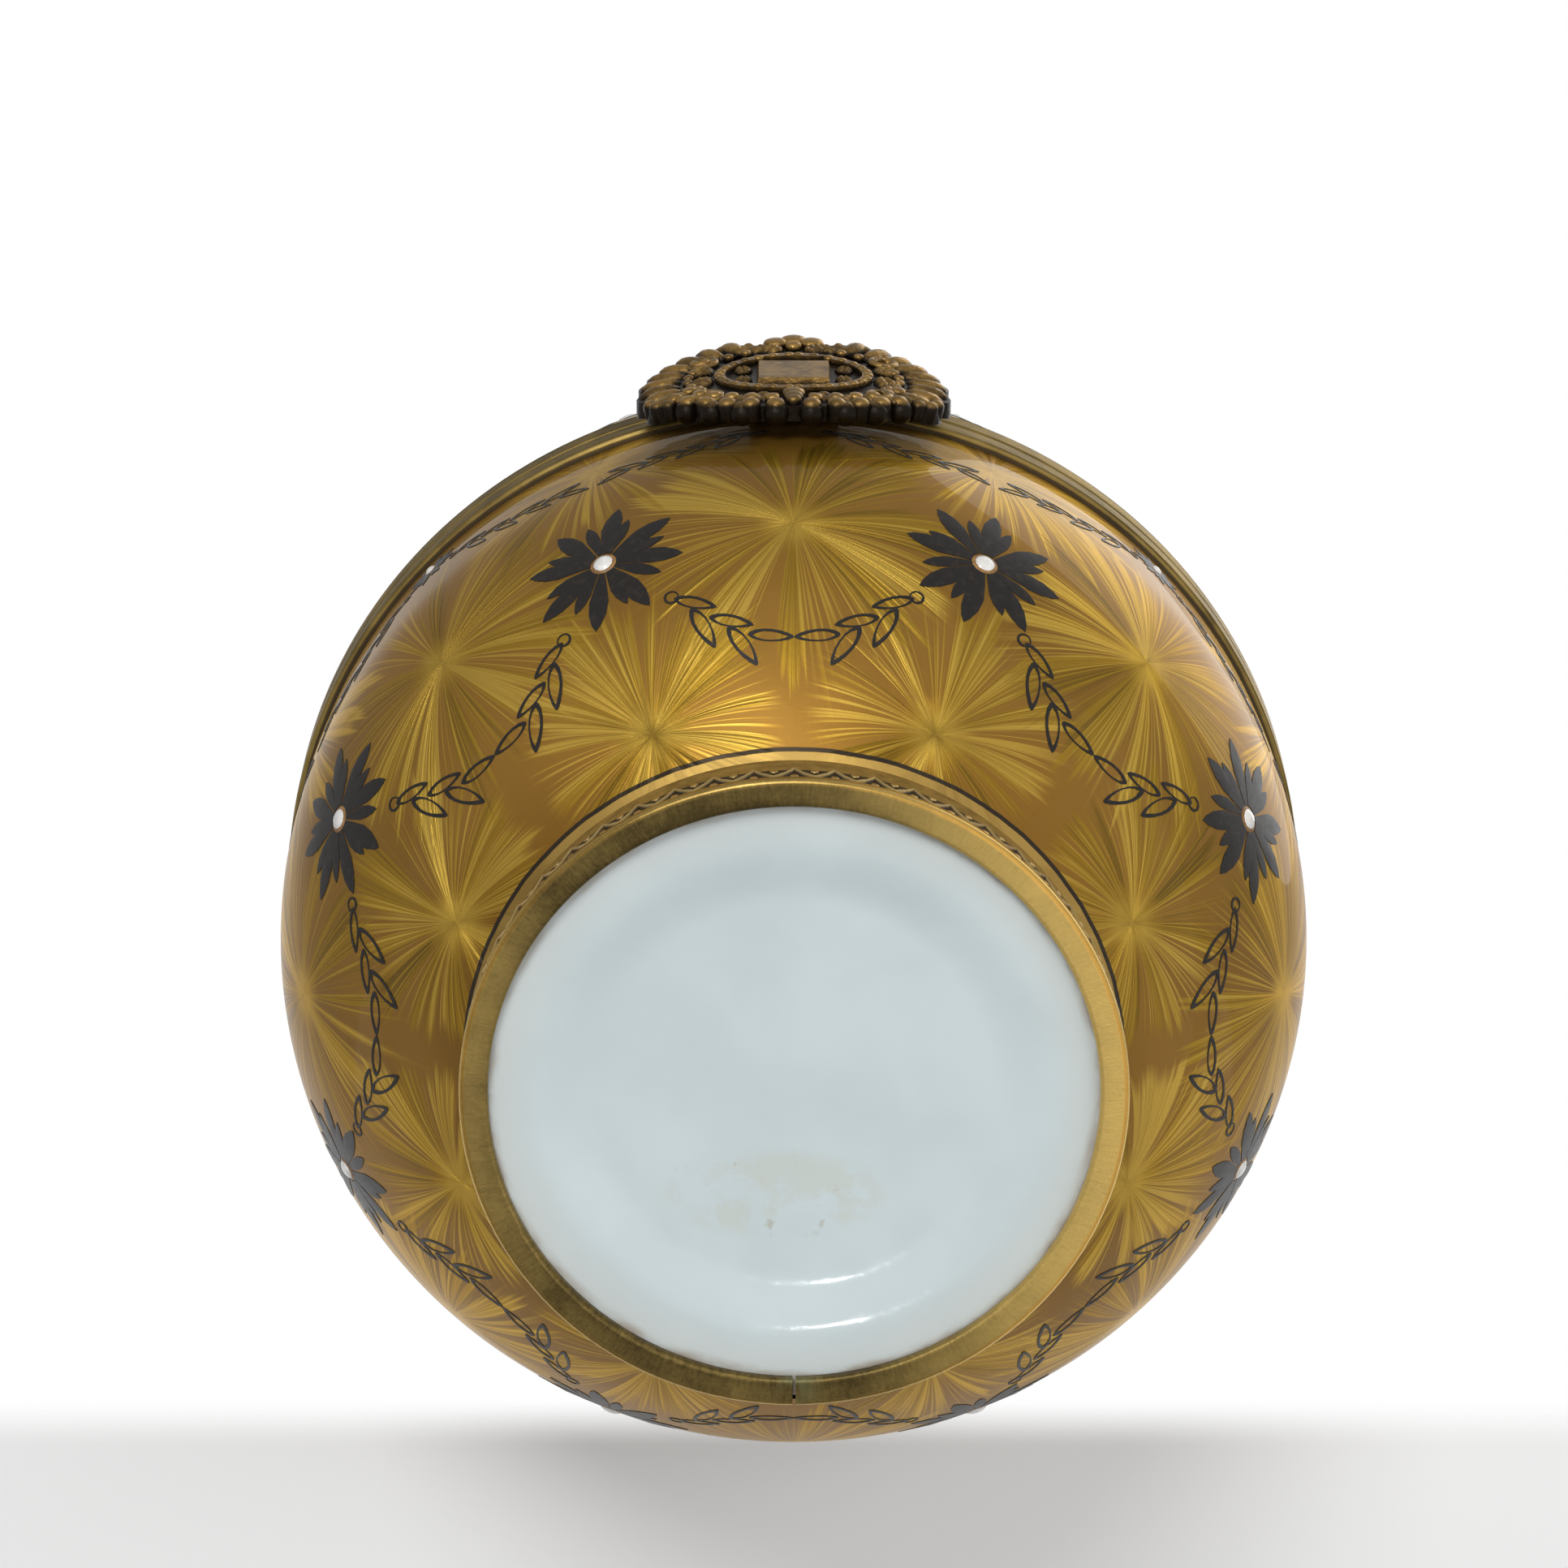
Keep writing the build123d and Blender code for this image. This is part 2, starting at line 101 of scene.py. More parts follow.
def worded(operation):
    """A method of Value that adds a node of that operation."""
    return lambda self, *others: self.tree.math(operation, self, *others)


def swapped(operation):
    """The same where a number stands left of the value."""
    return lambda self, other: self.tree.math(operation, other, self)


class Value:
    """A socket of a node tree, so that a mask or a height is written as a sum."""

    __add__ = __radd__ = worded("ADD")
    __mul__ = __rmul__ = worded("MULTIPLY")
    __sub__, __rsub__ = worded("SUBTRACT"), swapped("SUBTRACT")
    __truediv__, __rtruediv__ = worded("DIVIDE"), swapped("DIVIDE")
    __pow__, root = worded("POWER"), worded("SQRT")
    most, least, over = worded("MAXIMUM"), worded("MINIMUM"), worded("GREATER_THAN")
    size, sign = worded("ABSOLUTE"), worded("SIGN")
    whole, modulo = worded("ROUND"), worded("FLOORED_MODULO")
    sine, cosine, turn_from = worded("SINE"), worded("COSINE"), worded("ARCTAN2")

    def __init__(self, tree, socket):
        self.tree = tree
        self.socket = socket

    def __neg__(self):
        return self * -1

    def also(self, name):
        """Another output of the same node."""
        return Value(self.tree, self.socket.node.outputs[name])

    def rise(self, low, high):
        """0 below low and 1 above high with a smooth step between; low may be the larger."""
        values = {"Value": self, "From Min": low, "From Max": high}
        return self.tree.add("ShaderNodeMapRange", {"interpolation_type": "SMOOTHSTEP"}, values)


Place = namedtuple("Place", "where x y z radius turn")


class Tree:
    """A node tree of a material or of Geometry Nodes."""

    def __init__(self, node_tree):
        self.node_tree = node_tree

    def add(self, kind, settings=None, values=None, out=0):
        """Any node: its settings first, then the values or links of its sockets. Returns one output."""
        node = self.node_tree.nodes.new(kind)
        for name, setting in (settings or {}).items():
            setattr(node, name, setting)
        for name, value in (values or {}).items():
            if isinstance(value, Value):
                self.node_tree.links.new(value.socket, node.inputs[name])
            else:
                node.inputs[name].default_value = value
        return Value(self, node.outputs[out]) if node.outputs else node

    def math(self, operation, *values):
        return self.add("ShaderNodeMath", {"operation": operation}, dict(enumerate(values)))

    def vector(self, x, y, z):
        return self.add("ShaderNodeCombineXYZ", None, {0: x, 1: y, 2: z})

    def vector_math(self, operation, *values):
        return self.add("ShaderNodeVectorMath", {"operation": operation}, dict(enumerate(values)))

    def stretch(self, vector, factor):
        return self.add("ShaderNodeVectorMath", {"operation": "SCALE"}, {0: vector, "Scale": factor})

    def parts_of(self, vector):
        x = self.add("ShaderNodeSeparateXYZ", None, {0: vector})
        return x, x.also("Y"), x.also("Z")

    def mix(self, factor, one, other):
        """Colour that goes from one to the other."""
        return self.add("ShaderNodeMix", {"data_type": "RGBA"}, {0: factor, 6: one, 7: other}, out=2)

    def noise(self, vector, scale, detail=2.0, roughness=0.5):
        values = {"Vector": vector, "Scale": scale, "Detail": detail, "Roughness": roughness}
        return self.add("ShaderNodeTexNoise", None, values)

    def place(self):
        """Object coordinates, and the same as x, y, z, radius and turn in millimetres."""
        where = self.add("ShaderNodeTexCoord", out="Object")
        x, y, z = (part * (1 / MM) for part in self.parts_of(where))
        return Place(where, x, y, z, (x * x + y * y) ** 0.5, y.turn_from(x))

    def bump(self, height, distance, strength=1.0):
        values = {"Strength": strength, "Distance": distance, "Height": height}
        return self.add("ShaderNodeBump", None, values)


class Finish(Tree):
    """A new procedural material."""

    def __init__(self, name):
        self.material = bpy.data.materials.new(name)
        self.material.use_nodes = True
        self.material.node_tree.nodes.clear()
        super().__init__(self.material.node_tree)

    def surface(self, **values):
        """Ends the material in a Principled shader; words in a socket's name are joined by _."""
        sockets = {name.replace("_", " "): value for name, value in values.items()}
        shader = self.add("ShaderNodeBsdfPrincipled", None, sockets)
        self.add("ShaderNodeOutputMaterial", None, {"Surface": shader})
        return self.material


class Growth(Tree):
    """A Geometry Nodes tree with named inputs."""

    KINDS = {
        "geometry": "NodeSocketGeometry",
        "length": "NodeSocketFloat",
        "count": "NodeSocketInt",
        "object": "NodeSocketObject",
        "finish": "NodeSocketMaterial",
    }

    def __init__(self, name, **inputs):
        super().__init__(bpy.data.node_groups.new(name, "GeometryNodeTree"))
        face = self.node_tree.interface
        face.new_socket("Geometry", in_out="OUTPUT", socket_type=self.KINDS["geometry"])
        made = {}
        for word, kind in {"geometry": "geometry", **inputs}.items():
            label = word.replace("_", " ").capitalize()
            made[word] = face.new_socket(label, in_out="INPUT", socket_type=self.KINDS[kind])
        self.names = {word: socket.identifier for word, socket in made.items()}
        start = self.node_tree.nodes.new("NodeGroupInput")
        self.given = {word: Value(self, start.outputs[index]) for index, word in enumerate(made)}

    def named(self, name, kind="FLOAT"):
        return self.add("GeometryNodeInputNamedAttribute", {"data_type": kind}, {"Name": name})

    def move(self, geometry, place):
        return self.add("GeometryNodeSetPosition", None, {"Geometry": geometry, "Position": place})

    def scatter(self, points, facing):
        """The motif at each point, turned by a rotation and sized by the points, as plain geometry."""
        values = {"Object": self.given["motif"]}
        shape = self.add("GeometryNodeObjectInfo", None, values, out="Geometry")
        size = self.named("size", "FLOAT_VECTOR")
        values = {"Points": points, "Instance": shape, "Rotation": facing, "Scale": size}
        laid = self.add("GeometryNodeInstanceOnPoints", None, values)
        return self.add("GeometryNodeRealizeInstances", None, {"Geometry": laid})

    def beyond(self, value, limit):
        return self.add("FunctionNodeCompare", {"operation": "GREATER_THAN"}, {0: value, 1: limit})

    def smooth(self, geometry, crease):
        """Smooth faces with a sharp edge wherever two faces meet at more than the crease angle."""
        sharp = self.beyond(self.add("GeometryNodeInputMeshEdgeAngle"), crease)
        soft = self.add("GeometryNodeSetShadeSmooth", {"domain": "FACE"}, {0: geometry, 2: True})
        values = {0: soft, 1: sharp, 2: False}
        return self.add("GeometryNodeSetShadeSmooth", {"domain": "EDGE"}, values)

    def coat(self, geometry, finish, chosen=True):
        values = {"Geometry": geometry, "Material": finish, "Selection": chosen}
        return self.add("GeometryNodeSetMaterial", None, values)

    def dressed(self, geometry, crease):
        return self.coat(self.smooth(geometry, crease), self.given["finish"])

    def end(self, geometry):
        self.add("NodeGroupOutput", None, {0: geometry})
        return self

    def make(self, name, mesh, **inputs):
        """Runs the tree on a mesh and returns the result as an object with a plain mesh."""
        source = show(name + "_source", mesh)
        modifier = source.modifiers.new(name, "NODES")
        modifier.node_group = self.node_tree
        for word, value in inputs.items():
            modifier[self.names[word]] = value
        bpy.context.view_layer.update()
        ready = source.evaluated_get(bpy.context.evaluated_depsgraph_get())
        made = bpy.data.meshes.new_from_object(ready)
        source.modifiers.remove(modifier)
        bpy.data.objects.remove(source)
        if not made.polygons:
            raise RuntimeError(f"{name} came out with no faces")
        made.name = name
        return show(name, made)


# Meshes


def show(name, mesh):
    piece = bpy.data.objects.new(name, mesh)
    bpy.context.scene.collection.objects.link(piece)
    return piece


def outward(mesh):
    """Turns a closed mesh's faces outwards."""
    work = bmesh.new()
    work.from_mesh(mesh)
    bmesh.ops.recalc_face_normals(work, faces=work.faces)
    work.to_mesh(mesh)
    work.free()


def joined(name, pieces):
    """One piece out of several that carry their own materials."""
    work = bmesh.new()
    mesh = bpy.data.meshes.new(name)
    for piece in pieces:
        shift, before = len(mesh.materials), len(work.faces)
        for finish in piece.data.materials:
            mesh.materials.append(finish)
        work.from_mesh(piece.data)
        work.faces.ensure_lookup_table()
        for face in work.faces[before:]:
            face.material_index += shift
        bpy.data.objects.remove(piece)
    work.to_mesh(mesh)
    work.free()
    return show(name, mesh)


def bend(mesh, face, limit):
    """Bends a relief that stands on the plane y = -face round the axis, no further out than a limit."""
    corners = np.empty(3 * len(mesh.vertices), np.float32)
    mesh.vertices.foreach_get("co", corners)
    x, y, z = corners.reshape(-1, 3).T
    radius, turn = np.minimum(-y, limit), np.arcsin(x / face)
    bent = np.stack([radius * np.sin(turn), -radius * np.cos(turn), z], axis=1)
    mesh.vertices.foreach_set("co", bent.astype(np.float32).ravel())
    mesh.update()


def point_mesh(name, points, **attributes):
    """A mesh of points only, with a float or vector attribute for each word."""
    mesh = bpy.data.meshes.new(name)
    mesh.from_pydata([tuple(point) for point in points], [], [])
    for word, values in attributes.items():
        values = np.asarray(values, np.float32)
        kind, slot = ("FLOAT", "value") if values.ndim == 1 else ("FLOAT_VECTOR", "vector")
        mesh.attributes.new(word, kind, "POINT").data.foreach_set(slot, values.ravel())
    return mesh


def motif_mesh(name, corners, faces, lifts=None):
    """A small shape that Geometry Nodes repeat. Lift is each corner's height over the glaze."""
    mesh = bpy.data.meshes.new(name)
    mesh.from_pydata(corners, [], faces)
    lifts = np.zeros(len(corners), np.float32) if lifts is None else np.asarray(lifts, np.float32)
    mesh.attributes.new("lift", "FLOAT", "POINT").data.foreach_set("value", lifts)
    return mesh


# Sizes and colours


def measure(name, words, default):
    return FloatProperty(name=name, description=words, default=default, unit="LENGTH")


def lamp_power(name, words, default):
    return FloatProperty(name=name, description=words, default=default, unit="POWER")


def colour(name, words, default):
    return FloatVectorProperty(
        name=name, description=words, subtype="COLOR", size=3, min=0, max=1, default=default
    )


class EggSizes(bpy.types.PropertyGroup):
    """Sizes of the porcelain and its metalwork."""

    belly_radius: measure("Belly radius", "Largest radius of the glazed outside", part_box("bowl")[1].x)
    belly_height: measure("Belly height", "Height of the widest place", 36 * MM)
    lower_half_axis: measure("Lower half axis", "Height of the half ellipse under the belly", 35.6 * MM)
    upper_half_axis: measure(
        "Upper half axis", "Height of the half ellipse over the belly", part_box("lid")[1].z - 36 * MM
    )
    neck_radius: measure("Neck radius", "Radius of the gilt neck", 25.45 * MM)
    neck_edge: measure("Neck edge", "Bevel under the neck", 0.4 * MM)
    dish_radius: measure("Dish radius", "Radius of the hollow under the base", 22.6 * MM)
    dish_depth: measure("Dish depth", "Depth of the hollow under the base", 0.9 * MM)
    dish_flat: measure("Dish flat", "Radius at which the hollow starts to fall to its edge", 15.6 * MM)
    dish_slope: measure("Dish slope", "Width of that fall", 5.4 * MM)
    bowl_shoulder: measure(
        "Bowl shoulder",
        "Height at which the bowl's painting ends under its rim",
        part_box("bowl_rim")[0].z - 0.1 * MM,
    )
    lid_shoulder: measure(
        "Lid shoulder",
        "Height at which the lid's painting starts over its rim",
        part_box("lid_rim")[1].z + 0.1 * MM,
    )
    lip_rebate: measure("Lip rebate", "How far the lip steps in at a shoulder", 0.7 * MM)
    bowl_wall: measure("Bowl wall", "Thickness of the bowl at its belly", 3.2 * MM)
    lid_wall: measure("Lid wall", "Thickness of the lid", 2.8 * MM)
    bowl_floor: measure("Bowl floor", "Height of the inside's lowest point", 6 * MM)
    rim_flange: measure("Rim flange", "Thickness of a rim's flat seat", 0.75 * MM)
    rim_bed: measure("Rim bed", "Room for cement between porcelain and rim", 0.25 * MM)
    rim_edge: measure("Rim edge", "Rounding of a rim's outer edges", 0.42 * MM)
    reed_depth: measure("Reed depth", "Depth of the grooves round a rim", 0.07 * MM)
    collar_rise: measure("Collar rise", "Height of the collar that centres the lid", 0.7 * MM)
    collar_wall: measure("Collar wall", "Thickness of the collar", 0.6 * MM)
    collar_gap: measure("Collar gap", "Gap between the collar and the bowl's mouth", 0.1 * MM)
    collar_play: measure("Collar play", "Gap between the collar and the lid's rim", 0.3 * MM)
    reeds: IntProperty(name="Reeds", description="Grooves round a rim", default=4, min=1)
    gallery_steps: IntProperty(
        name="Gallery steps", description="Lozenges round the gallery", default=52, min=12
    )
    gallery_depth: measure("Gallery depth", "Thickness of the gallery", 0.34 * MM)
    relief_depth: measure("Relief depth", "Height of the clasp's relief over its plate", 0.7 * MM)
    clasp_height: measure("Clasp height", "Height of the clasp's middle", 47.2 * MM)
    rings_around: IntProperty(
        name="Steps around", description="Steps of a turned piece round its axis", default=240, min=24
    )


class PaintSizes(bpy.types.PropertyGroup):
    """Sizes of the painted ornament."""

    rosettes: IntProperty(name="Rosettes", description="Rosettes in a ring", default=8, min=3)
    rosette_size: measure("Rosette size", "Radius of a large rosette", 7.0 * MM)
    small_rosette_size: measure("Small rosette size", "Radius of a small rosette", 2.8 * MM)
    bead_size: measure("Bead size", "Radius of the bead on a large rosette", 0.9 * MM)
    small_bead_size: measure("Small bead size", "Radius of the bead on a small rosette", 0.55 * MM)
    leaf_length: measure("Leaf length", "Length of a leaf between large rosettes", 4.0 * MM)
    small_leaf_length: measure("Small leaf length", "Length of a leaf between small rosettes", 3.4 * MM)
    paint_lift: measure("Paint lift", "How far the enamel stands on the glaze", 0.05 * MM)
    bead_rise: measure("Bead rise", "Height of a white bead", 0.35 * MM)


class Colours(bpy.types.PropertyGroup):
    """Colours of the glaze, paint and metal."""

    ground: colour("Ground", "Tan ground of the painting", (0.29, 0.146, 0.02))
    gold: colour("Gold", "Brushed gold rays", (0.405, 0.236, 0.02))
    olive: colour("Olive", "Strokes of the rays that lie in shade", (0.18, 0.106, 0.013))
    glint: colour("Glint", "Brightest strokes of the rays", (0.64, 0.415, 0.065))
    glaze: colour("Glaze", "Bluish white glaze under the base", (0.62, 0.71, 0.73))
    lining: colour("Lining", "White glaze inside", (0.83, 0.83, 0.8))
    enamel: colour("Enamel", "Black enamel", (0.012, 0.010, 0.009))
    gilt: colour("Gilt", "Dull gilding of the neck", (0.46, 0.3, 0.08))
    brass: colour("Brass", "Bare brass", (0.54, 0.385, 0.155))
    # Also the colour of the painted shade under the clasp and along each rim's underside at the
    # painting.
    patina: colour("Patina", "Dark patina in hollows", (0.045, 0.03, 0.015))


class StageSizes(bpy.types.PropertyGroup):
    """Camera, floor and light."""

    lens: FloatProperty(
        name="Lens", description="Focal length for a 36 mm wide picture", default=149.3, unit="CAMERA"
    )
    floor: colour("Floor", "Colour of the floor", (0.82, 0.82, 0.82))
    shelf: colour("Shelf", "Colour of the shelf behind the egg", (0.96, 0.96, 0.96))
    key: lamp_power("Key light", "Power of the large soft lamp", 5.0)
    fill: lamp_power("Fill light", "Power of the second lamp", 2.7)
    glint: lamp_power("Glint light", "Power of the small lamp that glints in the glaze", 0.25)
    top: lamp_power("Top light", "Power of the lamp overhead", 3.2)


def shade(tint, share=1.0):
    """A share of a colour, with alpha."""
    return (*(share * part for part in tint), 1.0)


def warm_brass(colours, blue):
    red, green, rest = colours.brass
    return red, 0.97 * green, blue * rest


def egg_radius(sizes, height):
    """Radius of the glazed outside at a height."""
    half = np.where(height > sizes.belly_height, sizes.upper_half_axis, sizes.lower_half_axis)
    return sizes.belly_radius * np.sqrt(np.clip(1 - ((height - sizes.belly_height) / half) ** 2, 0, 1))


# Geometry Nodes trees


def turning_tree(bands):
    """Turns a section of points about Z. Each band starts at a distance along the section."""
    inputs = {"rings": "count", "steps": "count", "finish": "finish"}
    for band in bands:
        inputs |= {f"{band}_from": "length", f"{band}_finish": "finish"}
    tree = Growth("turned_piece", **inputs)
    given = tree.given
    size = {"Size X": 1.0, "Size Y": 1.0}
    values = {**size, "Vertices X": given["steps"] + 1, "Vertices Y": given["rings"]}
    sheet = tree.add("GeometryNodeMeshGrid", None, values)
    x, y, _ = tree.parts_of(tree.add("GeometryNodeInputPosition"))
    row = ((y + 0.5) * (given["rings"] - 1)).whole()
    turn = (x + 0.5) * FULL_TURN

    def of_row(kind, value):
        """What the section's point has from which this row is turned."""
        values = {0: given["geometry"], 1: value, 2: row}
        return tree.add("GeometryNodeSampleIndex", {"data_type": kind}, values)

    radius, _, height = tree.parts_of(of_row("FLOAT_VECTOR", tree.add("GeometryNodeInputPosition")))
    values = {"Geometry": sheet, "Name": "along", "Value": of_row("FLOAT", tree.named("along"))}
    sheet = tree.add("GeometryNodeStoreNamedAttribute", {"data_type": "FLOAT"}, values)
    sheet = tree.move(sheet, tree.vector(radius * turn.cosine(), radius * turn.sine(), height))
    sheet = tree.add("GeometryNodeMergeByDistance", None, {"Geometry": sheet, "Distance": WELD})
    sheet = tree.dressed(sheet, TURNED_CREASE)
    for band in bands:
        chosen = tree.beyond(tree.named("along"), given[f"{band}_from"])
        sheet = tree.coat(sheet, given[f"{band}_finish"], chosen)
    return tree.end(sheet)


def turned(name, section, sizes, finish, **bands):
    """A closed turned piece. Its section has radius, height and distance; a band, start and finish."""
    corners = [(radius, 0, height) for radius, height, _ in section]
    mesh = point_mesh(name + "_section", corners, along=[along for _, _, along in section])
    inputs = {"rings": len(section), "steps": sizes.rings_around, "finish": finish}
    for band, (start, look) in bands.items():
        inputs |= {f"{band}_from": start, f"{band}_finish": look}
    piece = turning_tree(bands).make(name, mesh, **inputs)
    outward(piece.data)
    return piece


def painting_tree():
    """Lays a motif on the egg at points that give turn, height, heading and size."""
    tree = Growth("motifs_on_egg", motif="object", finish="finish", **dict.fromkeys(EGG_AXES, "length"))
    belly, middle, lower, upper = (tree.given[axis] for axis in EGG_AXES)

    def half_axis(height):
        return lower + (upper - lower) * height.over(middle)

    turn, height, heading = (tree.named(word) for word in ("turn", "height", "heading"))
    half = half_axis(height)
    share = (height - middle) / half
    round_off = (1 - share * share).root()
    slope = -(belly * share) / (half * round_off)
    across, along = turn.cosine(), turn.sine()
    place = tree.vector(belly * round_off * across, belly * round_off * along, height)
    points = tree.move(tree.given["geometry"], place)
    sideways = tree.vector(-along, across, 0.0)
    upwards = tree.vector_math("NORMALIZE", tree.vector(slope * across, slope * along, 1.0))
    outwards = tree.vector_math("CROSS_PRODUCT", sideways, upwards)
    part, rest = tree.stretch(sideways, heading.cosine()), tree.stretch(upwards, heading.sine())
    ahead = tree.vector_math("ADD", part, rest)
    axes = {"primary_axis": "Z", "secondary_axis": "X"}
    facing = tree.add("FunctionNodeAxesToRotation", axes, {0: outwards, 1: ahead})
    laid = tree.scatter(points, facing)
    x, y, z = tree.parts_of(tree.add("GeometryNodeInputPosition"))
    half = half_axis(z)
    z = z - middle
    flat = (x * x + y * y) / (belly * belly) + (z * z) / (half * half)
    reach = 1 / flat.root()
    distance = (x * x + y * y + z * z).root() * reach
    reach = reach * (1 + tree.named("lift") / distance)
    laid = tree.move(laid, tree.vector(x * reach, y * reach, z * reach + middle))
    return tree.end(tree.dressed(laid, CAST_CREASE))


def setting_tree():
    """Sets a motif at points that give its turn about X, Y and Z and its size."""
    tree = Growth("set_motifs", motif="object", finish="finish")
    facing = tree.add("FunctionNodeEulerToRotation", None, {0: tree.named("turned", "FLOAT_VECTOR")})
    return tree.end(tree.dressed(tree.scatter(tree.given["geometry"], facing), CAST_CREASE))


def scroll_tree():
    """A tapering spiral scroll that lies in its own XY plane."""
    words = ("turns", "inner_radius", "outer_radius", "thickness")
    tree = Growth("scroll", finish="finish", **dict.fromkeys(words, "length"))
    turns, inner, outer, thickness = (tree.given[word] for word in words)
    values = {"Resolution": 18, "Rotations": turns, "Height": 0.0}
    values |= {"Start Radius": inner, "End Radius": outer}
    line = tree.add("GeometryNodeCurveSpiral", None, values)
    taper = 1.15 - tree.add("GeometryNodeSplineParameter") * 0.75
    profile = tree.add("GeometryNodeCurvePrimitiveCircle", None, {"Resolution": 8, "Radius": thickness})
    values = {"Curve": line, "Profile Curve": profile, "Scale": taper, "Fill Caps": True}
    tube = tree.add("GeometryNodeCurveToMesh", None, values)
    return tree.end(tree.dressed(tube, CAST_CREASE))


# Motifs


def around(count):
    """Even turns of a full circle."""
    return [FULL_TURN * number / count for number in range(count)]


def circle(count, radius, height, first=0.0):
    """Even points round Z."""
    turns = [first + turn for turn in around(count)]
    return [(radius * math.cos(turn), radius * math.sin(turn), height) for turn in turns]


def paint_foot(lift):
    """Height of the underside of paint, a little under the glaze."""
    return -0.6 * lift


def line_motif(name, outline, lift):
    """Painted line round a closed outline of pairs: a point on its outer edge and one on its inner."""
    corners, lifts, faces = [], [], []
    for pair in outline:
        for x, y in pair:
            corners += [(x, y, 0)] * 2
            lifts += [lift, paint_foot(lift)]
    for index in range(len(outline)):
        here, there = 4 * index, 4 * ((index + 1) % len(outline))
        faces += [
            (here, there, there + 2, here + 2),
            (here + 1, here + 3, there + 3, there + 1),
            (here, here + 1, there + 1, there),
            (here + 2, there + 2, there + 3, here + 3),
        ]
    return motif_mesh(name, corners, faces, lifts)


def leaf_motif(lift):
    """Outline of a leaf one unit long, thick on one side and thin on the other."""
    outline = []
    for angle in around(16):
        share = (1 - math.cos(angle)) / 2
        side = 1 if angle <= math.pi else -1
        width = 0.155 * abs(math.sin(angle)) ** 1.25 * (1.12 - 0.3 * share)
        inner = max(width - (0.056 if side > 0 else 0.03), 0.0)
        outline.append(((share, side * width), (0.09 + share * 0.81, side * inner)))
    return line_motif("leaf_motif", outline, lift)


def berry_motif(lift):
    """Outline of a round berry one unit in radius."""
    outline = []
    for angle in around(12):
        radii = (1.0, 0.74 + 0.08 * math.sin(angle))
        outline.append([(radius * math.cos(angle), radius * math.sin(angle)) for radius in radii])
    return line_motif("berry_motif", outline, lift)


def petal(length, width, curve, turn):
    """Outline of a brush-stroke petal that starts near the middle and ends in a point."""
    half = ((0.0, 0.28), (0.25, 0.62), (0.5, 0.95), (0.72, 0.85), (0.9, 0.45))
    outline = []
    for share, part in (*half, (1.0, 0.0), *((share, -part) for share, part in half[::-1])):
        x = 0.16 + 0.84 * share * length
        y = part * width / 2 + curve * x * x
        along, across = math.cos(turn), math.sin(turn)
        outline.append((x * along - y * across, x * across + y * along))
    return outline


def rosette_motif(lift):
    """Flower of brush strokes, one unit in radius: eight long petals over eight short ones."""
    petals, layers = 8, ((0.74, 0.17, 0.05, 1.6), (1.0, 0.25, -0.05, 2.2))
    corners, lifts, faces = [], [], []
    for layer, (length, width, curve, top) in enumerate(layers):
        for number in range(petals):
            hand = math.sin(2.4 * number + 1.9 * layer)
            turn = FULL_TURN * (number + 0.5 * (1 - layer)) / petals + 0.05 * hand
            outline = petal(length * (1 - 0.05 * abs(hand)), width, curve, turn)
            first, count = len(corners), len(outline)
            corners += [(x, y, 0) for x, y in outline] * 2 + [(*np.mean(outline, axis=0), 0)]
            lifts += [lift] * count + [paint_foot(lift)] * count + [top * lift]
            for index in range(count):
                here, there = first + index, first + (index + 1) % count
                faces += [(here, first + 2 * count, there), (here, there, there + count, here + count)]
            faces.append(tuple(range(first + count, first + 2 * count)))
    return motif_mesh("rosette_motif", corners, faces, lifts)


def mound_motif(name, rows, tip, lifts=None):
    """Closed boss: rings of corners that rise to a tip, flat below."""
    count = len(rows[0])
    corners = [corner for row in rows for corner in row] + [tip]
    last, faces = len(corners) - 1, []
    for here in range(last):
        there = here + 1 if (here + 1) % count else here + 1 - count
        above = (there + count, here + count) if here + count < last else (last,)
        faces.append((here, there, *above))
    faces.append(tuple(reversed(range(count))))
    return motif_mesh(name, corners, faces, lifts)


def dome_motif(rise, low):
    """Round bead one unit in radius, flat below."""
    levels = (1.0, 0.86, 0.5)
    rows = [circle(12, level, 0) for level in levels]
    lifts = [low + (rise - low) * math.sqrt(1 - level**2) for level in levels for _ in rows[0]]
    return mound_motif("bead_motif", rows, (0, 0, 0), lifts + [rise])


def drop_motif():
    """Drop-shaped boss one unit long from the origin along +X, half a unit wide and one high."""
    rows = []
    for level in (0.0, 0.45, 0.8):
        spread, row = math.sqrt(1 - level**2), []
        for angle in around(10):
            x = (1 - math.cos(angle)) / 2
            y = 0.5 * math.sin(angle) * (0.55 + 0.45 * x)
            row.append((0.5 + (x - 0.5) * spread, y * spread, level))
        rows.append(row)
    return mound_motif("drop_motif", rows, (0.56, 0, 1.0))


def stud_motif():
    """Short round stud one unit in radius and one long along +Z, with a rounded end."""
    profile = ((0.9, 0.0), (1.0, 0.12), (1.0, 0.62), (0.86, 0.85), (0.5, 0.97))
    rows = [circle(14, radius, height) for radius, height in profile]
    return mound_motif("stud_motif", rows, (0, 0, 1.0))


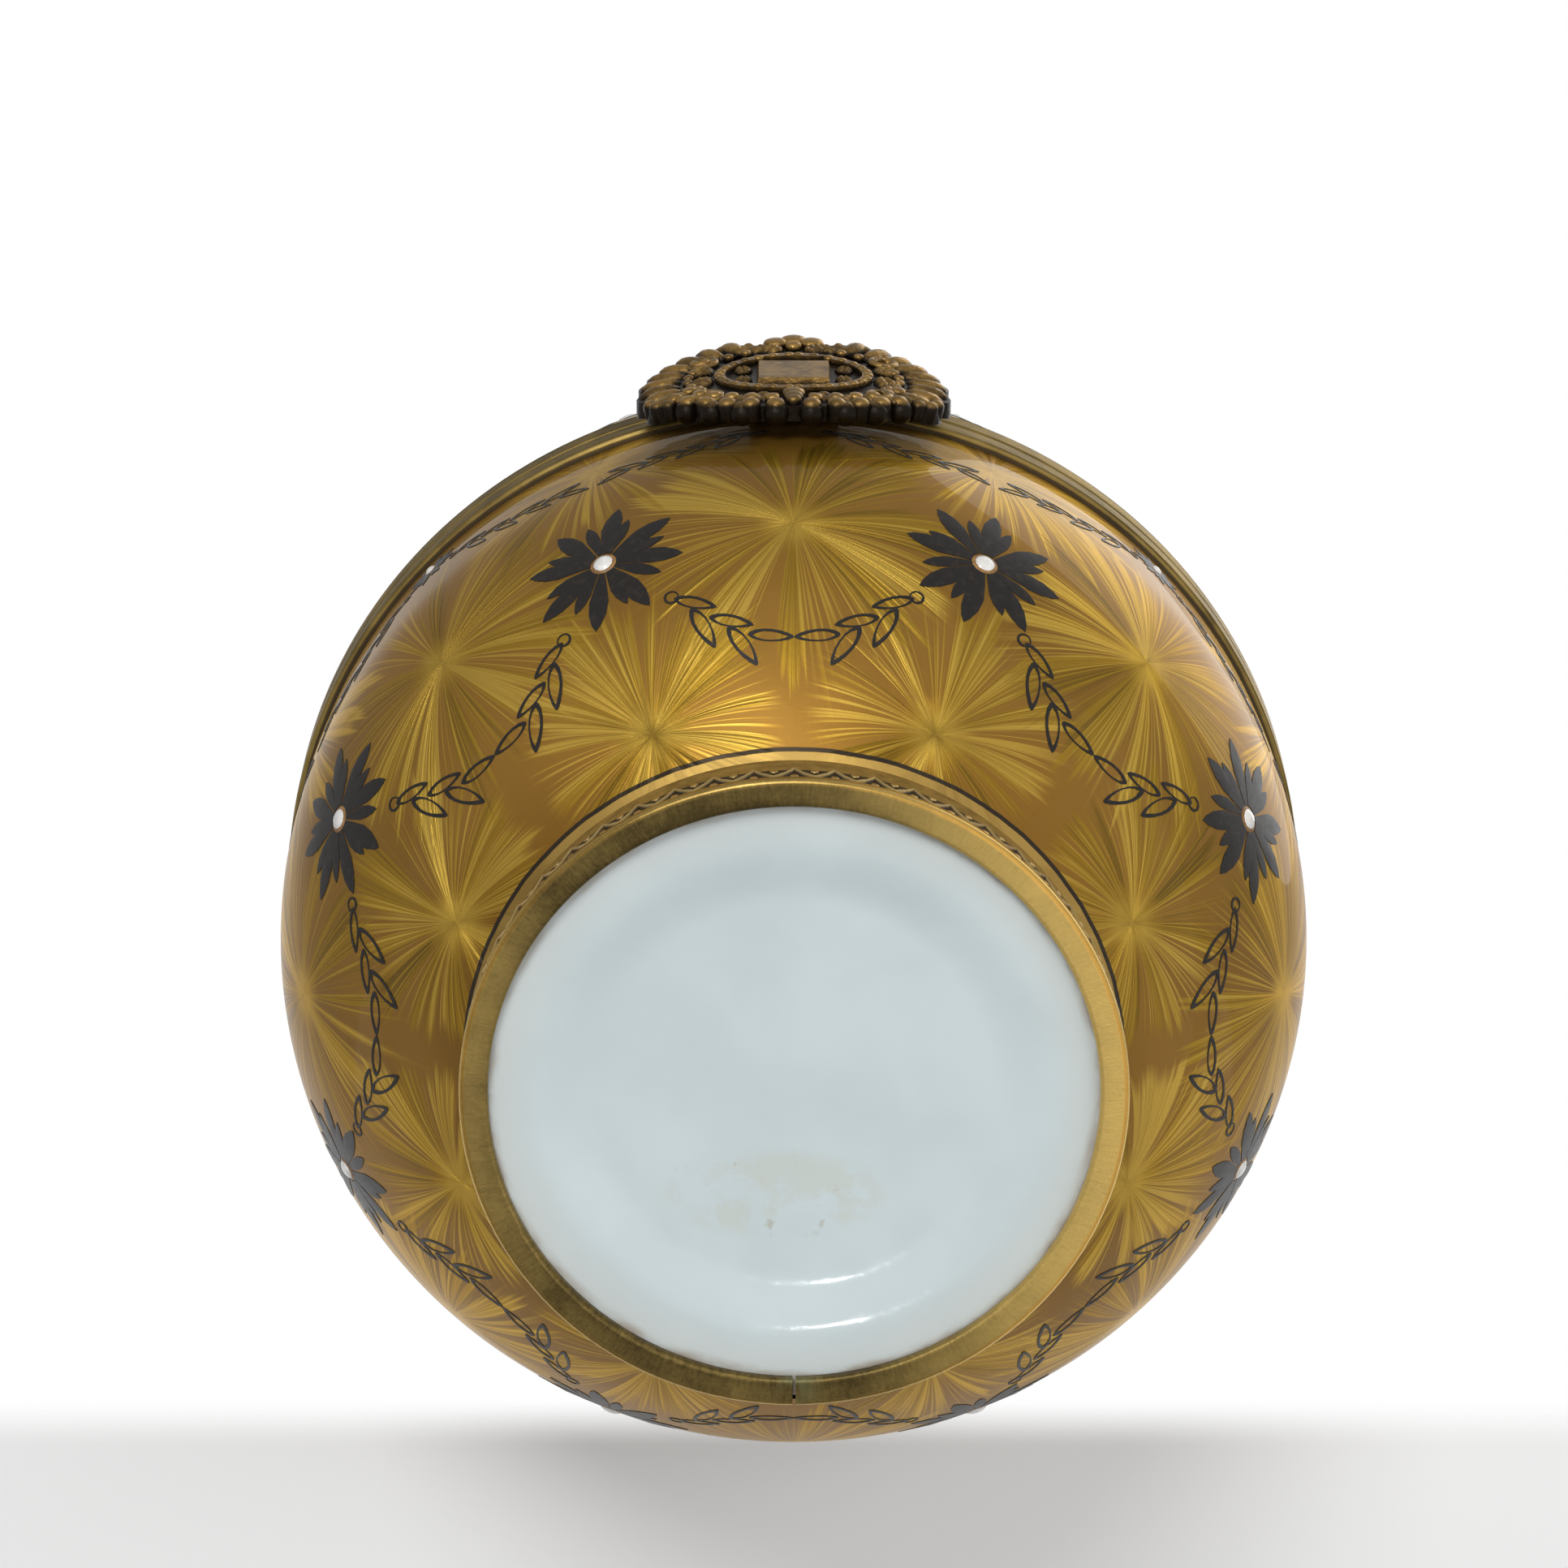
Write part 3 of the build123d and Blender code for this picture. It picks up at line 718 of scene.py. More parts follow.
def acanthus_motif():
    """Cast leaf one unit long along +X and up to one high, with lobed edges and a grooved middle."""
    rows, columns, lobes = 20, 8, 5
    corners, faces = [], []

    def wave(share):
        return 0.5 + 0.5 * math.cos(FULL_TURN * lobes * share)

    for row in range(rows + 1):
        share = row / rows
        width = 0.3 * math.sin(math.pi * share**0.75) ** 0.8 if 0 < row < rows else 0.004
        width *= 0.72 + 0.28 * wave(share)
        swell = math.sin(math.pi * min(1.0, 0.12 + 0.86 * share)) ** 0.5
        for column in range(columns + 1):
            side = 2 * column / columns - 1
            ridge = 0.66 + 0.34 * wave(share - 0.06 * abs(side))
            groove = 0.3 * math.exp(-((side / 0.18) ** 2))
            crown = swell * math.sqrt(max(0.0, 1 - side * side)) * (ridge - groove)
            corners.append((share + 0.1 * abs(side) * (1 - share), width * side, max(0.0, crown)))
    wide = columns + 1
    for row in range(rows):
        for here in range(row * wide, row * wide + columns):
            faces.append((here, here + wide, here + wide + 1, here + 1))
    edge = [row * wide for row in range(rows + 1)]
    edge += [rows * wide + column for column in range(1, wide)]
    edge += [row * wide + columns for row in range(rows - 1, -1, -1)]
    edge += range(columns - 1, 0, -1)
    under = len(corners)
    corners += [(*corners[index][:2], -0.25) for index in edge]
    for index, here in enumerate(edge):
        after = (index + 1) % len(edge)
        faces.append((edge[after], here, under + index, under + after))
    faces.append(tuple(reversed(range(under, len(corners)))))
    return motif_mesh("acanthus_motif", corners, faces)


def gull_motif(width, rise, depth):
    """Two slanting ridges that meet in a point, as wide as one step of the gallery."""
    half, thick = width / 2, 0.17 * rise
    spine = [(-half, 0.16 * rise), (-half * 0.45, 0.5 * rise), (0, 0.94 * rise)]
    spine += [(-y, z) for y, z in spine[-2::-1]]
    corners, faces = [], []
    for y, z in spine:
        corners += [(0, y, z - thick), (depth, y, z), (0, y, z + thick * 0.9)]
    end = len(corners) - 3
    for here in range(0, end, 3):
        there = here + 3
        faces += [(here, there, there + 1, here + 1), (here + 1, there + 1, there + 2, here + 2)]
        faces.append((here + 2, there + 2, there, here))
    faces += [(0, 1, 2), (end + 2, end + 1, end)]
    return motif_mesh("gull_motif", corners, faces)


# Finishes


def total(values):
    first, *rest = values
    return sum(rest, first)


def burst(tree, at, tier, seed):
    """Ring of ray bursts: how far gold covers a spot, how bright it is, and its strokes' grooves."""
    height, centre_radius, count, start, reach = tier
    step = FULL_TURN / count
    share = (at.turn - start) * (1 / step)
    cell = share.whole()
    if count == 1:
        dx, dy, room = at.x, at.y, CROWN_ROOM - at.radius
    else:
        dx = (share - cell) * step * at.radius
        dz, dr = at.z - height, at.radius - centre_radius
        dy = (dz * dz + dr * dr) ** 0.5 * dz.sign()
        room = at.radius * (0.5 * step) - dx.size()
    far = ((dx * dx + dy * dy) ** 0.5).most(0.01)
    kind = cell.modulo(count) * 3.7 + seed
    ux, uy = dx / far, dy / far

    def rays(fine, shift, detail):
        return tree.noise(tree.vector(ux * fine + shift, uy * fine, kind), 1.0, detail, 0.6)

    stroke = rays(36.0, 5.0, 3.0)
    long = rays(9.0, 11.0, 2.0)
    end = reach * (0.42 + 0.95 * long) + stroke * 6.0 - 2.0
    taper = (far / end).rise(0.35, 1.0) * 0.06
    wedge = (rays(4.4, 0.0, 1.5) - taper).rise(0.45, 0.5)
    single = (rays(17.0, 8.0, 1.0) - taper).rise(0.58, 0.64)
    margin = room.rise(long * 7.0 - 3.0, long * 7.0 - 0.6)
    thread = (rays(15.0, 21.0, 0.0) - 0.5).size().rise(0.085, 0.02)
    thread = thread * far.rise(1.1 * end, 0.5 * end) * margin
    drawn = wedge.most(single * 0.8) * far.rise(end, end - 2.2) * margin
    heart = far.rise(4.0, 1.0)
    cover = heart.most(drawn * (0.5 + 0.5 * stroke.rise(0.36, 0.52))).most(thread * 0.75)
    sheen = rays(1.5, 2.0, 1.0)
    light = (stroke - 0.5) * 1.4 + (sheen - 0.5) * 2.1 + thread * 0.35
    bright = 0.5 + 0.28 * heart + light * (1 - 0.8 * heart)
    return cover, bright, (stroke - 0.5) * drawn.most(heart) * (1 - 0.5 * heart)


def gold_painting(name, tiers, line_height, colours):
    """Brushed gold rays on tan under clear glaze, with a black line at one height and gilding below."""
    tree = Finish(name)
    at = tree.place()
    layers = [burst(tree, at, tier, 20.0 * number + 1.3) for number, tier in enumerate(tiers)]
    cover = total(rays for rays, _, _ in layers)
    bright = total(light * rays for rays, light, _ in layers) / cover.most(0.02)
    grooves = total(groove for _, _, groove in layers)
    cover = cover.least(1.0)
    cloud = tree.noise(at.where, 60.0, 3.0)
    speck = tree.noise(at.where, 2600.0, 1.0)
    ground = tree.mix(cloud.rise(0.3, 0.7), shade(colours.ground, 0.78), shade(colours.ground))
    gold = tree.mix(bright.rise(0.05, 0.55), shade(colours.olive), shade(colours.gold))
    gold = tree.mix(bright.rise(0.5, 0.95), gold, shade(colours.glint))
    base = tree.mix(cover, ground, gold)
    edge = line_height + tree.noise(tree.vector(at.turn * 9.0, 0.0, 0.0), 1.0, 3.0) * 0.12
    band = at.z.rise(edge - 0.16, edge - 0.2)
    line = at.z.rise(edge + 0.04, edge) * (1 - band)
    gilt = tree.mix(cloud.rise(0.35, 0.65), shade(colours.gilt, 0.75), shade(colours.gilt))
    base = tree.mix(band, tree.mix(line, base, shade(colours.enamel)), gilt)
    return tree.surface(
        Base_Color=base,
        Metallic=(0.6 + 0.25 * cover) * (1 - line),
        Roughness=0.44 - 0.08 * cover + 0.06 * band,
        Normal=tree.bump(grooves * 2.0 * (1 - band) + speck * 0.1, 0.09 * MM, 0.8),
        Specular_Tint=(0.8, 0.6, 0.35, 1.0),
        Coat_Weight=0.32,
        Coat_Roughness=0.03,
        Coat_IOR=1.5,
    )


def white_glaze(name, tint):
    """White glaze with a little unevenness and, under the base, a few faint stains and a dirty edge."""
    tree = Finish(name)
    at = tree.place()
    under = at.z.rise(3.0, 2.5)
    across, back = (at.x + 1.5) / 10.5, (at.y - 8.8) / 4.2
    spot = (across * across + back * back).rise(1.0, 0.35) * under
    stain = spot * tree.noise(at.where, 190.0, 5.0, 0.58).rise(0.45, 0.56)
    speck = spot * tree.noise(at.where, 700.0, 3.0, 0.6).rise(0.62, 0.72)
    smear = tree.noise(tree.vector(at.turn * 5.0, at.radius * 0.5, 0.0), 1.0, 3.0)
    margin = (at.radius + smear * 3.0).rise(20.5, 24.5) * under
    dirt = (at.radius + smear * 1.1).rise(23.75, 24.7) * under * smear.rise(0.3, 0.65)
    tone = tree.noise(at.where, 90.0, 3.0)
    base = tree.mix(tone.rise(0.35, 0.7), shade(tint, 0.94), shade(tint))
    for mask, mark in (
        (stain * 0.3, (0.56, 0.54, 0.4)),
        (speck * 0.45, (0.4, 0.34, 0.22)),
        (margin * 0.22, (0.66, 0.6, 0.5)),
        (dirt * 0.6, (0.3, 0.2, 0.12)),
    ):
        base = tree.mix(mask, base, shade(mark))
    waves = tree.noise(at.where, 140.0, 2.0) + 0.22 * tree.noise(at.where, 620.0, 2.0)
    return tree.surface(
        Base_Color=base,
        Roughness=0.12 + 0.1 * stain,
        Normal=tree.bump(waves, 0.2 * MM, 0.45),
        Coat_Weight=0.6,
        Coat_Roughness=0.04,
    )


def dull_gilding(colours):
    """Worn gilding on the porcelain neck."""
    tree = Finish("dull_gilding")
    at = tree.place()
    wear = tree.noise(at.where, 900.0, 4.0, 0.65)
    bands = tree.noise(tree.vector(at.turn * 2.0, at.z * 3.0, 0.0), 1.0, 3.0)
    tone = (wear * 0.6 + bands * 0.4).rise(0.35, 0.62)
    return tree.surface(
        Base_Color=tree.mix(tone, shade(colours.gilt, 0.6), shade(colours.gilt)),
        Metallic=0.7,
        Roughness=0.42 + 0.18 * wear,
        Normal=tree.bump(wear, 0.04 * MM, 0.6),
    )


def black_enamel(colours):
    """Black enamel with brush marks that let a little brown through."""
    tree = Finish("black_enamel")
    brush = tree.noise(tree.place().where, 1500.0, 3.0, 0.6)
    return tree.surface(
        Base_Color=tree.mix(brush.rise(0.5, 0.8), shade(colours.enamel), (0.032, 0.022, 0.014, 1.0)),
        Roughness=0.3 + 0.15 * brush,
        Normal=tree.bump(brush, 0.03 * MM, 0.5),
        Specular_IOR_Level=0.35,
    )


def ochre_enamel():
    """Ochre pad under a bead."""
    tree = Finish("ochre_enamel")
    brush = tree.noise(tree.place().where, 1300.0, 3.0, 0.6)
    base = tree.mix(brush.rise(0.4, 0.7), (0.2, 0.1, 0.03, 1.0), (0.36, 0.19, 0.06, 1.0))
    return tree.surface(Base_Color=base, Roughness=0.3 + 0.15 * brush)


def white_enamel():
    """Raised white enamel beads."""
    tree = Finish("white_enamel")
    tone = tree.noise(tree.place().where, 1100.0, 2.0)
    base = tree.mix(tone.rise(0.4, 0.7), (0.72, 0.7, 0.66, 1.0), (0.86, 0.86, 0.84, 1.0))
    rough = 0.16 + 0.1 * tone
    return tree.surface(Base_Color=base, Roughness=rough, Coat_Weight=0.8, Coat_Roughness=0.05)


def turned_brass(name, colours, edge, reach):
    """Rim of brass with fine lines round the axis, scuffs, and grime with painted shade where it meets
    the painting.
    """
    tree = Finish(name)
    at = tree.place()
    streak = tree.noise(tree.vector(at.turn * 1.5, at.z * 7.0, at.radius * 7.0), 1.0, 3.0, 0.6)
    cloud = tree.noise(at.where, 260.0, 4.0, 0.6)
    warm = warm_brass(colours, 0.74)
    tone = (streak * 0.65 + cloud * 0.35).rise(0.36, 0.66)
    base = tree.mix(tone, shade(warm, 0.24), shade(warm, 0.72))
    inner = (at.radius + cloud * 0.16).rise(reach - 0.2, reach - 0.42)
    # Painted shade and painted dark reflection, with some grime: the rim's underside next to the
    # painting is darkened towards the patina colour.
    grime = (at.z - edge).size().rise(0.34, 0.1) * inner
    return tree.surface(
        Base_Color=tree.mix(grime * 0.9, base, shade(colours.patina)),
        Metallic=1.0 - 0.4 * grime,
        Roughness=0.24 + 0.22 * cloud + 0.2 * grime,
        Normal=tree.bump(streak, 0.08 * MM, 0.7),
    )


def foot_brass(colours, reach):
    """Foot ring: cross-brushed underside, polished outer edge with a painted highlight, dull inner
    edge, a green seam, and painted light that makes it lighter towards +X.
    """
    tree = Finish("foot_brass")
    at = tree.place()
    across, along = at.turn.cosine(), at.turn.sine()
    brush = tree.noise(tree.vector(at.turn * 150.0, at.radius * 0.6, at.z * 0.5), 1.0, 3.0, 0.65)
    cloud = tree.noise(at.where, 330.0, 4.0, 0.6)
    patch = tree.noise(tree.vector(across * 1.6, along * 1.6, 3.0), 1.0, 2.0)
    grain = tree.noise(at.where, 2600.0, 3.0, 0.7)
    inner = at.radius.rise(25.3, 24.3)
    # Painted light: the ring is made lighter towards +X, and a little towards -X, where light fell on
    # it.
    lightened = (at.turn + 0.12).cosine().rise(0.0, 1.0) + 0.26 * across.rise(-0.7, -1.0)
    # Polished outer edge: lower roughness, and a lighter colour that is a painted highlight.
    polish_and_highlight = at.radius.rise(reach - 0.55, reach - 0.15)
    grit = brush * 0.2 + grain * 0.25 + cloud * 0.3 + patch * 0.25 - 0.5
    tone = 0.09 + lightened * 0.88 + grit * 1.1 - inner * 0.06 + polish_and_highlight * 0.4
    warm = warm_brass(colours, 0.72)
    base = tree.mix(tone, shade(warm, 0.17), shade(warm, 1.6))
    seam = (3.0 - at.x.size()).rise(0.0, 3.0) * at.y.rise(20.0, 22.0) * cloud.rise(0.35, 0.6)
    return tree.surface(
        Base_Color=tree.mix(seam * 0.55, base, (0.1, 0.13, 0.06, 1.0)),
        Metallic=0.86 - 0.3 * seam,
        Roughness=0.36 + 0.2 * cloud - 0.2 * polish_and_highlight,
        Normal=tree.bump((brush * 0.5 + grain * 0.6) * (1 - polish_and_highlight), 0.06 * MM, 0.7),
    )


def gallery_brass(colours, low, high):
    """Gallery strip: dark patina in the hollows and relief worn bright."""
    tree = Finish("gallery_brass")
    at = tree.place()
    grime = tree.noise(at.where, 1400.0, 3.0, 0.6)
    lightened = (at.radius + (grime - 0.5) * 0.12).rise(low, high)
    return tree.surface(
        Base_Color=tree.mix(lightened, shade(colours.patina), shade(colours.brass, 1.25)),
        Metallic=0.55 + 0.45 * lightened,
        Roughness=0.5 - 0.22 * lightened,
        Normal=tree.bump(grime, 0.04 * MM, 0.6),
    )


def worn_brass(colours):
    """Hinge and clasp strip: handled brass with file marks, dark under the clasp."""
    tree = Finish("worn_brass")
    at = tree.place()
    marks = tree.noise(tree.vector(at.x * 0.8, at.z * 9.0, at.x * 0.2), 1.0, 3.0, 0.6)
    grime = tree.noise(at.where, 700.0, 4.0, 0.6)
    tone = (marks * 0.5 + grime * 0.5).rise(0.36, 0.6)
    base = tree.mix(tone, shade(colours.brass, 0.35), shade(colours.brass))
    shaded = at.y.rise(-42.0, -43.0) * at.z.rise(46.0, 43.0)
    return tree.surface(
        Base_Color=tree.mix(shaded, base, shade(colours.patina)),
        Metallic=1.0,
        Roughness=0.28 + 0.25 * grime + 0.2 * shaded,
        Normal=tree.bump(marks, 0.05 * MM, 0.6),
    )


def antique_brass(back, front):
    """Cast clasp: near-black patina in the hollows, gold-brown where it is worn."""
    tree = Finish("antique_brass")
    at = tree.place()
    pits = tree.noise(at.where, 1500.0, 4.0, 0.65)
    cloud = tree.noise(at.where, 420.0, 3.0, 0.6)
    high = (at.radius + (pits - 0.5) * 0.4).rise(back, front)
    lightened = high * (0.42 + 0.58 * cloud.rise(0.36, 0.6))
    return tree.surface(
        Base_Color=tree.mix(lightened, (0.013, 0.009, 0.0055, 1.0), (0.46, 0.275, 0.083, 1.0)),
        Metallic=0.7 + 0.3 * lightened,
        Roughness=0.24 + 0.16 * pits,
        Specular_IOR_Level=0.3,
        Normal=tree.bump(pits, 0.12 * MM, 0.8),
    )


def bedding_plaster():
    """Grey-buff cement between metal and porcelain."""
    tree = Finish("bedding_plaster")
    grit = tree.noise(tree.place().where, 1800.0, 4.0, 0.65)
    base = tree.mix(grit.rise(0.35, 0.65), (0.36, 0.31, 0.24, 1.0), (0.56, 0.51, 0.43, 1.0))
    bumps = tree.bump(grit, 0.08 * MM, 0.6)
    return tree.surface(Base_Color=base, Roughness=0.75 + 0.2 * grit, Normal=bumps)


# Sections of the turned pieces


def ellipse(radius, half, middle, low, high, steps):
    """Points of an upright half ellipse between two angles in degrees."""
    angles = np.radians(np.linspace(low, high, steps))
    return [(radius * math.cos(angle), middle + half * math.sin(angle)) for angle in angles]


def angle_at(height, middle, half):
    return math.degrees(math.asin((height - middle) / half))


def measured(points, start=0):
    """Points with their distance along the section from the point numbered start."""
    steps = np.hypot(*np.diff(np.array(points), axis=0).T)
    along = np.concatenate([[0], np.cumsum(steps)])
    return [(*point, distance) for point, distance in zip(points, along - along[start])]


def bowl_section(sizes):
    """Bowl from under its middle, up outside and down inside; where its neck and its inside start."""
    low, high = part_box("bowl")
    belly, middle, lower, upper = (getattr(sizes, axis) for axis in EGG_AXES)
    neck_top = middle - lower * math.sqrt(1 - (sizes.neck_radius / belly) ** 2)
    base = []
    for share in np.linspace(0, 1, 64):
        place = sizes.dish_radius * share
        step = min(max((place - sizes.dish_flat) / sizes.dish_slope, 0.0), 1.0)
        hollow = (1 - 0.1 * share**2) * (1 - step * step * (3 - 2 * step))
        base.append((place, low.z + sizes.dish_depth * hollow))
    edge = low.z + sizes.neck_edge
    neck = [(sizes.neck_radius - sizes.neck_edge, low.z), (sizes.neck_radius, edge)]
    neck += [(sizes.neck_radius, height) for height in np.linspace(edge, neck_top, 6)[1:-1]]
    outside = ellipse(belly, lower, middle, angle_at(neck_top, middle, lower), 0, 48)
    outside += ellipse(belly, upper, middle, 0, angle_at(sizes.bowl_shoulder, middle, upper), 12)[1:]
    lip = outside[-1][0] - sizes.lip_rebate
    inner, inner_half = belly - sizes.bowl_wall, upper - sizes.bowl_wall
    inside = ellipse(inner, inner_half, middle, angle_at(high.z, middle, inner_half), 0, 10)
    inside += ellipse(inner, middle - sizes.bowl_floor, middle, 0, -90, 36)[1:]
    inside[-1] = (0.0, inside[-1][1])
    points = base + neck + outside + [(lip, sizes.bowl_shoulder), (lip, high.z)] + inside
    start = len(base) + len(neck)
    section = measured(points, start)
    return section, section[len(base)][2], section[start + len(outside) - 1][2]


def lid_section(sizes):
    """Lid from the top of its inside, down to the lip and up the outside."""
    low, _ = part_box("lid")
    belly, middle, _, upper = (getattr(sizes, axis) for axis in EGG_AXES)
    inner_half = upper - sizes.lid_wall
    bottom = angle_at(low.z, middle, inner_half)
    inside = ellipse(belly - sizes.lid_wall, inner_half, middle, 90, bottom, 50)
    inside[0] = (0.0, inside[0][1])
    outside = ellipse(belly, upper, middle, angle_at(sizes.lid_shoulder, middle, upper), 90, 72)
    outside[-1] = (0.0, outside[-1][1])
    lip = outside[0][0] - sizes.lip_rebate
    points = inside + [(lip, low.z), (lip, sizes.lid_shoulder)] + outside
    return measured(points, len(inside) + 2)


def rim_section(sizes, corners, face, low, high):
    """Section of a rim: its corners inside, and an outer face with reeds and rounded edges."""
    points, edge = list(corners), sizes.rim_edge
    for share in np.linspace(0, 1, 29):
        height = low + (high - low) * share
        near = min(height - low, high - height)
        if near < edge:
            depth = edge - math.sqrt(edge**2 - (edge - near) ** 2)
        else:
            depth = sizes.reed_depth * (0.5 - 0.5 * math.cos(FULL_TURN * sizes.reeds * share))
        points.append((face - depth, height))
    return measured(points + points[:1])


# Operators


def dress(node, finish):
    """Gives a node of the solids its finish."""
    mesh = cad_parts[node].data
    mesh.materials.clear()
    mesh.materials.append(finish)


def ride_and_slot(piece, body, slot, *nodes):
    """Sets a finished piece on its body and hides the solids that it stands for. The slot is not used.
    """
    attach(piece, body)
    if nodes:
        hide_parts(*nodes)


def first_turn(count, shifted):
    """Turn of the first motif of a ring: the front, or half a step from it."""
    return FRONT + (0.5 * FULL_TURN / count if shifted else 0.0)


def ray_tiers(sizes, rows, count):
    """Rings of ray bursts as height, radius, count, first turn and reach, in millimetres."""
    return [
        (height, float(egg_radius(sizes, height * MM)) / MM, count, first_turn(count, shifted), reach)
        for height, shifted, reach in rows
    ]


class EGGBOX_OT_shells(bpy.types.Operator):
    """Turn the porcelain bowl and lid and give them their painting and glaze"""

    bl_idname = "eggbox.shells"
    bl_label = "Porcelain shells"

    def execute(self, context):
        scene = context.scene
        sizes, colours, count = scene.egg_sizes, scene.egg_colours, scene.egg_paint.rosettes
        lining = white_glaze("inside_glaze", colours.lining)
        tiers = ray_tiers(sizes, BOWL_BURSTS, count)
        painted = gold_painting("gold_painting_bowl", tiers, NECK_LINE, colours)
        section, neck, shoulder = bowl_section(sizes)
        bowl = turned(
            "porcelain_bowl",
            section,
            sizes,
            white_glaze("base_glaze", colours.glaze),
            neck=(neck - BAND_SLACK, dull_gilding(colours)),
            painting=(0.0, painted),
            inside=(shoulder, lining),
        )
        ride_and_slot(bowl, "bowl", "glazed_porcelain", "bowl")
        tiers = [*ray_tiers(sizes, LID_BURSTS, count), CROWN_BURST]
        painted = gold_painting("gold_painting_lid", tiers, NO_LINE, colours)
        lid = turned("porcelain_lid", lid_section(sizes), sizes, lining, painting=(0.0, painted))
        ride_and_slot(lid, "lid", "glazed_porcelain", "lid")
        return {"FINISHED"}


def swag(sizes, count, start, ends, dip, length, margin):
    """Leaves and berries of swags between even turns: turn, height, heading and size of each."""
    step = FULL_TURN / count
    share = np.linspace(0, 0.5, 200)
    turn = share * step
    height = ends - dip * 4 * share * (1 - share)
    radius = egg_radius(sizes, height)
    rise = np.hypot(np.diff(height), np.diff(radius)) * np.sign(np.diff(height))
    across = 0.5 * (radius[1:] + radius[:-1]) * np.diff(turn)
    along = np.concatenate([[0], np.cumsum(np.hypot(rise, across))])
    heading = np.arctan2(rise, across)
    leaves, berries = [], []

    def put(kind, distance, lean, size):
        """Sets a motif on the first half of each swag and its mirror image on the other."""
        at, level = np.interp(distance, along, turn), np.interp(distance, along, height)
        ahead = np.interp(distance, along[1:], heading) + lean
        for number in range(count):
            first = start + number * step
            kind.append((first + at, level, ahead, size))
            kind.append((first + step - at, level, math.pi - ahead, (size[0], -size[1], size[2])))

    last = along[-1] - 0.95 * length
    steps = max(1, round((last - margin) / (0.5 * length)))
    for index, place in enumerate(np.linspace(margin, last, steps + 1)):
        side = -1 if index % 2 else 1
        wave = math.sin(5.3 * place / MM)
        grown = length * (1 + 0.1 * wave)
        put(leaves, place, side * (0.4 + 0.08 * wave), (grown, grown * side, grown))
    put(berries, margin - 0.06 * length, 0.0, (0.16 * length,) * 3)
    return leaves, berries


def ring(count, start, height, size):
    """The same motif at even turns, without the first where the clasp would cover it."""
    low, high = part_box("clasp_plate")
    hidden = start == FRONT and low.z < height < high.z
    spots = [(start + turn, height, 0.3 * n, (size,) * 3) for n, turn in enumerate(around(count))]
    return spots[1:] if hidden else spots


class EGGBOX_OT_painting(bpy.types.Operator):
    """Paint rosettes, swags of leaves and white beads on the bowl and the lid"""

    bl_idname = "eggbox.painting"
    bl_label = "Painted ornament"

    def execute(self, context):
        scene = context.scene
        sizes, paint = scene.egg_sizes, scene.egg_paint
        black, white, ochre = black_enamel(scene.egg_colours), white_enamel(), ochre_enamel()
        tree = painting_tree()
        lift, count = paint.paint_lift, paint.rosettes
        motifs = {
            "flowers": (show("rosette_motif", rosette_motif(lift)), black),
            "leaves": (show("leaf_motif", leaf_motif(lift)), black),
            "berries": (show("berry_motif", berry_motif(lift)), black),
            "pads": (show("pad_motif", dome_motif(3.2 * lift, -0.5 * lift)), ochre),
            "beads": (show("bead_motif", dome_motif(paint.bead_rise, -0.5 * lift)), white),
        }
        axes = {axis: getattr(sizes, axis) for axis in EGG_AXES}
        for body, rows in ROSETTE_RINGS.items():
            spots = {kind: [] for kind in motifs}
            for height, shifted, large, dip in rows:
                size = paint.rosette_size if large else paint.small_rosette_size
                bead = paint.bead_size if large else paint.small_bead_size
                leaf = paint.leaf_length if large else paint.small_leaf_length
                start, level = first_turn(count, shifted), height * MM
                spots["flowers"] += ring(count, start, level, size)
                spots["beads"] += ring(count, start, level, bead)
                leaves, berries = swag(sizes, count, start, level, dip * MM, leaf, size + 0.22 * leaf)
                spots["leaves"] += leaves
                spots["berries"] += berries
            for turn, level, _, (bead, *_) in spots["beads"]:
                spots["pads"].append((turn, level, 0.0, (1.3 * bead, 1.2 * bead, 1.0)))
            pieces = []
            for kind, (motif, finish) in motifs.items():
                columns = dict(zip(("turn", "height", "heading", "size"), zip(*spots[kind])))
                name = f"{body}_{kind}"
                mesh = point_mesh(name, [(0, 0, 0)] * len(spots[kind]), **columns)
                pieces.append(tree.make(name, mesh, motif=motif, finish=finish, **axes))
                outward(pieces[-1].data)
            ride_and_slot(joined(f"painted_ornament_{body}", pieces), body, "glazed_porcelain")
        for motif, _ in motifs.values():
            bpy.data.objects.remove(motif)
        return {"FINISHED"}


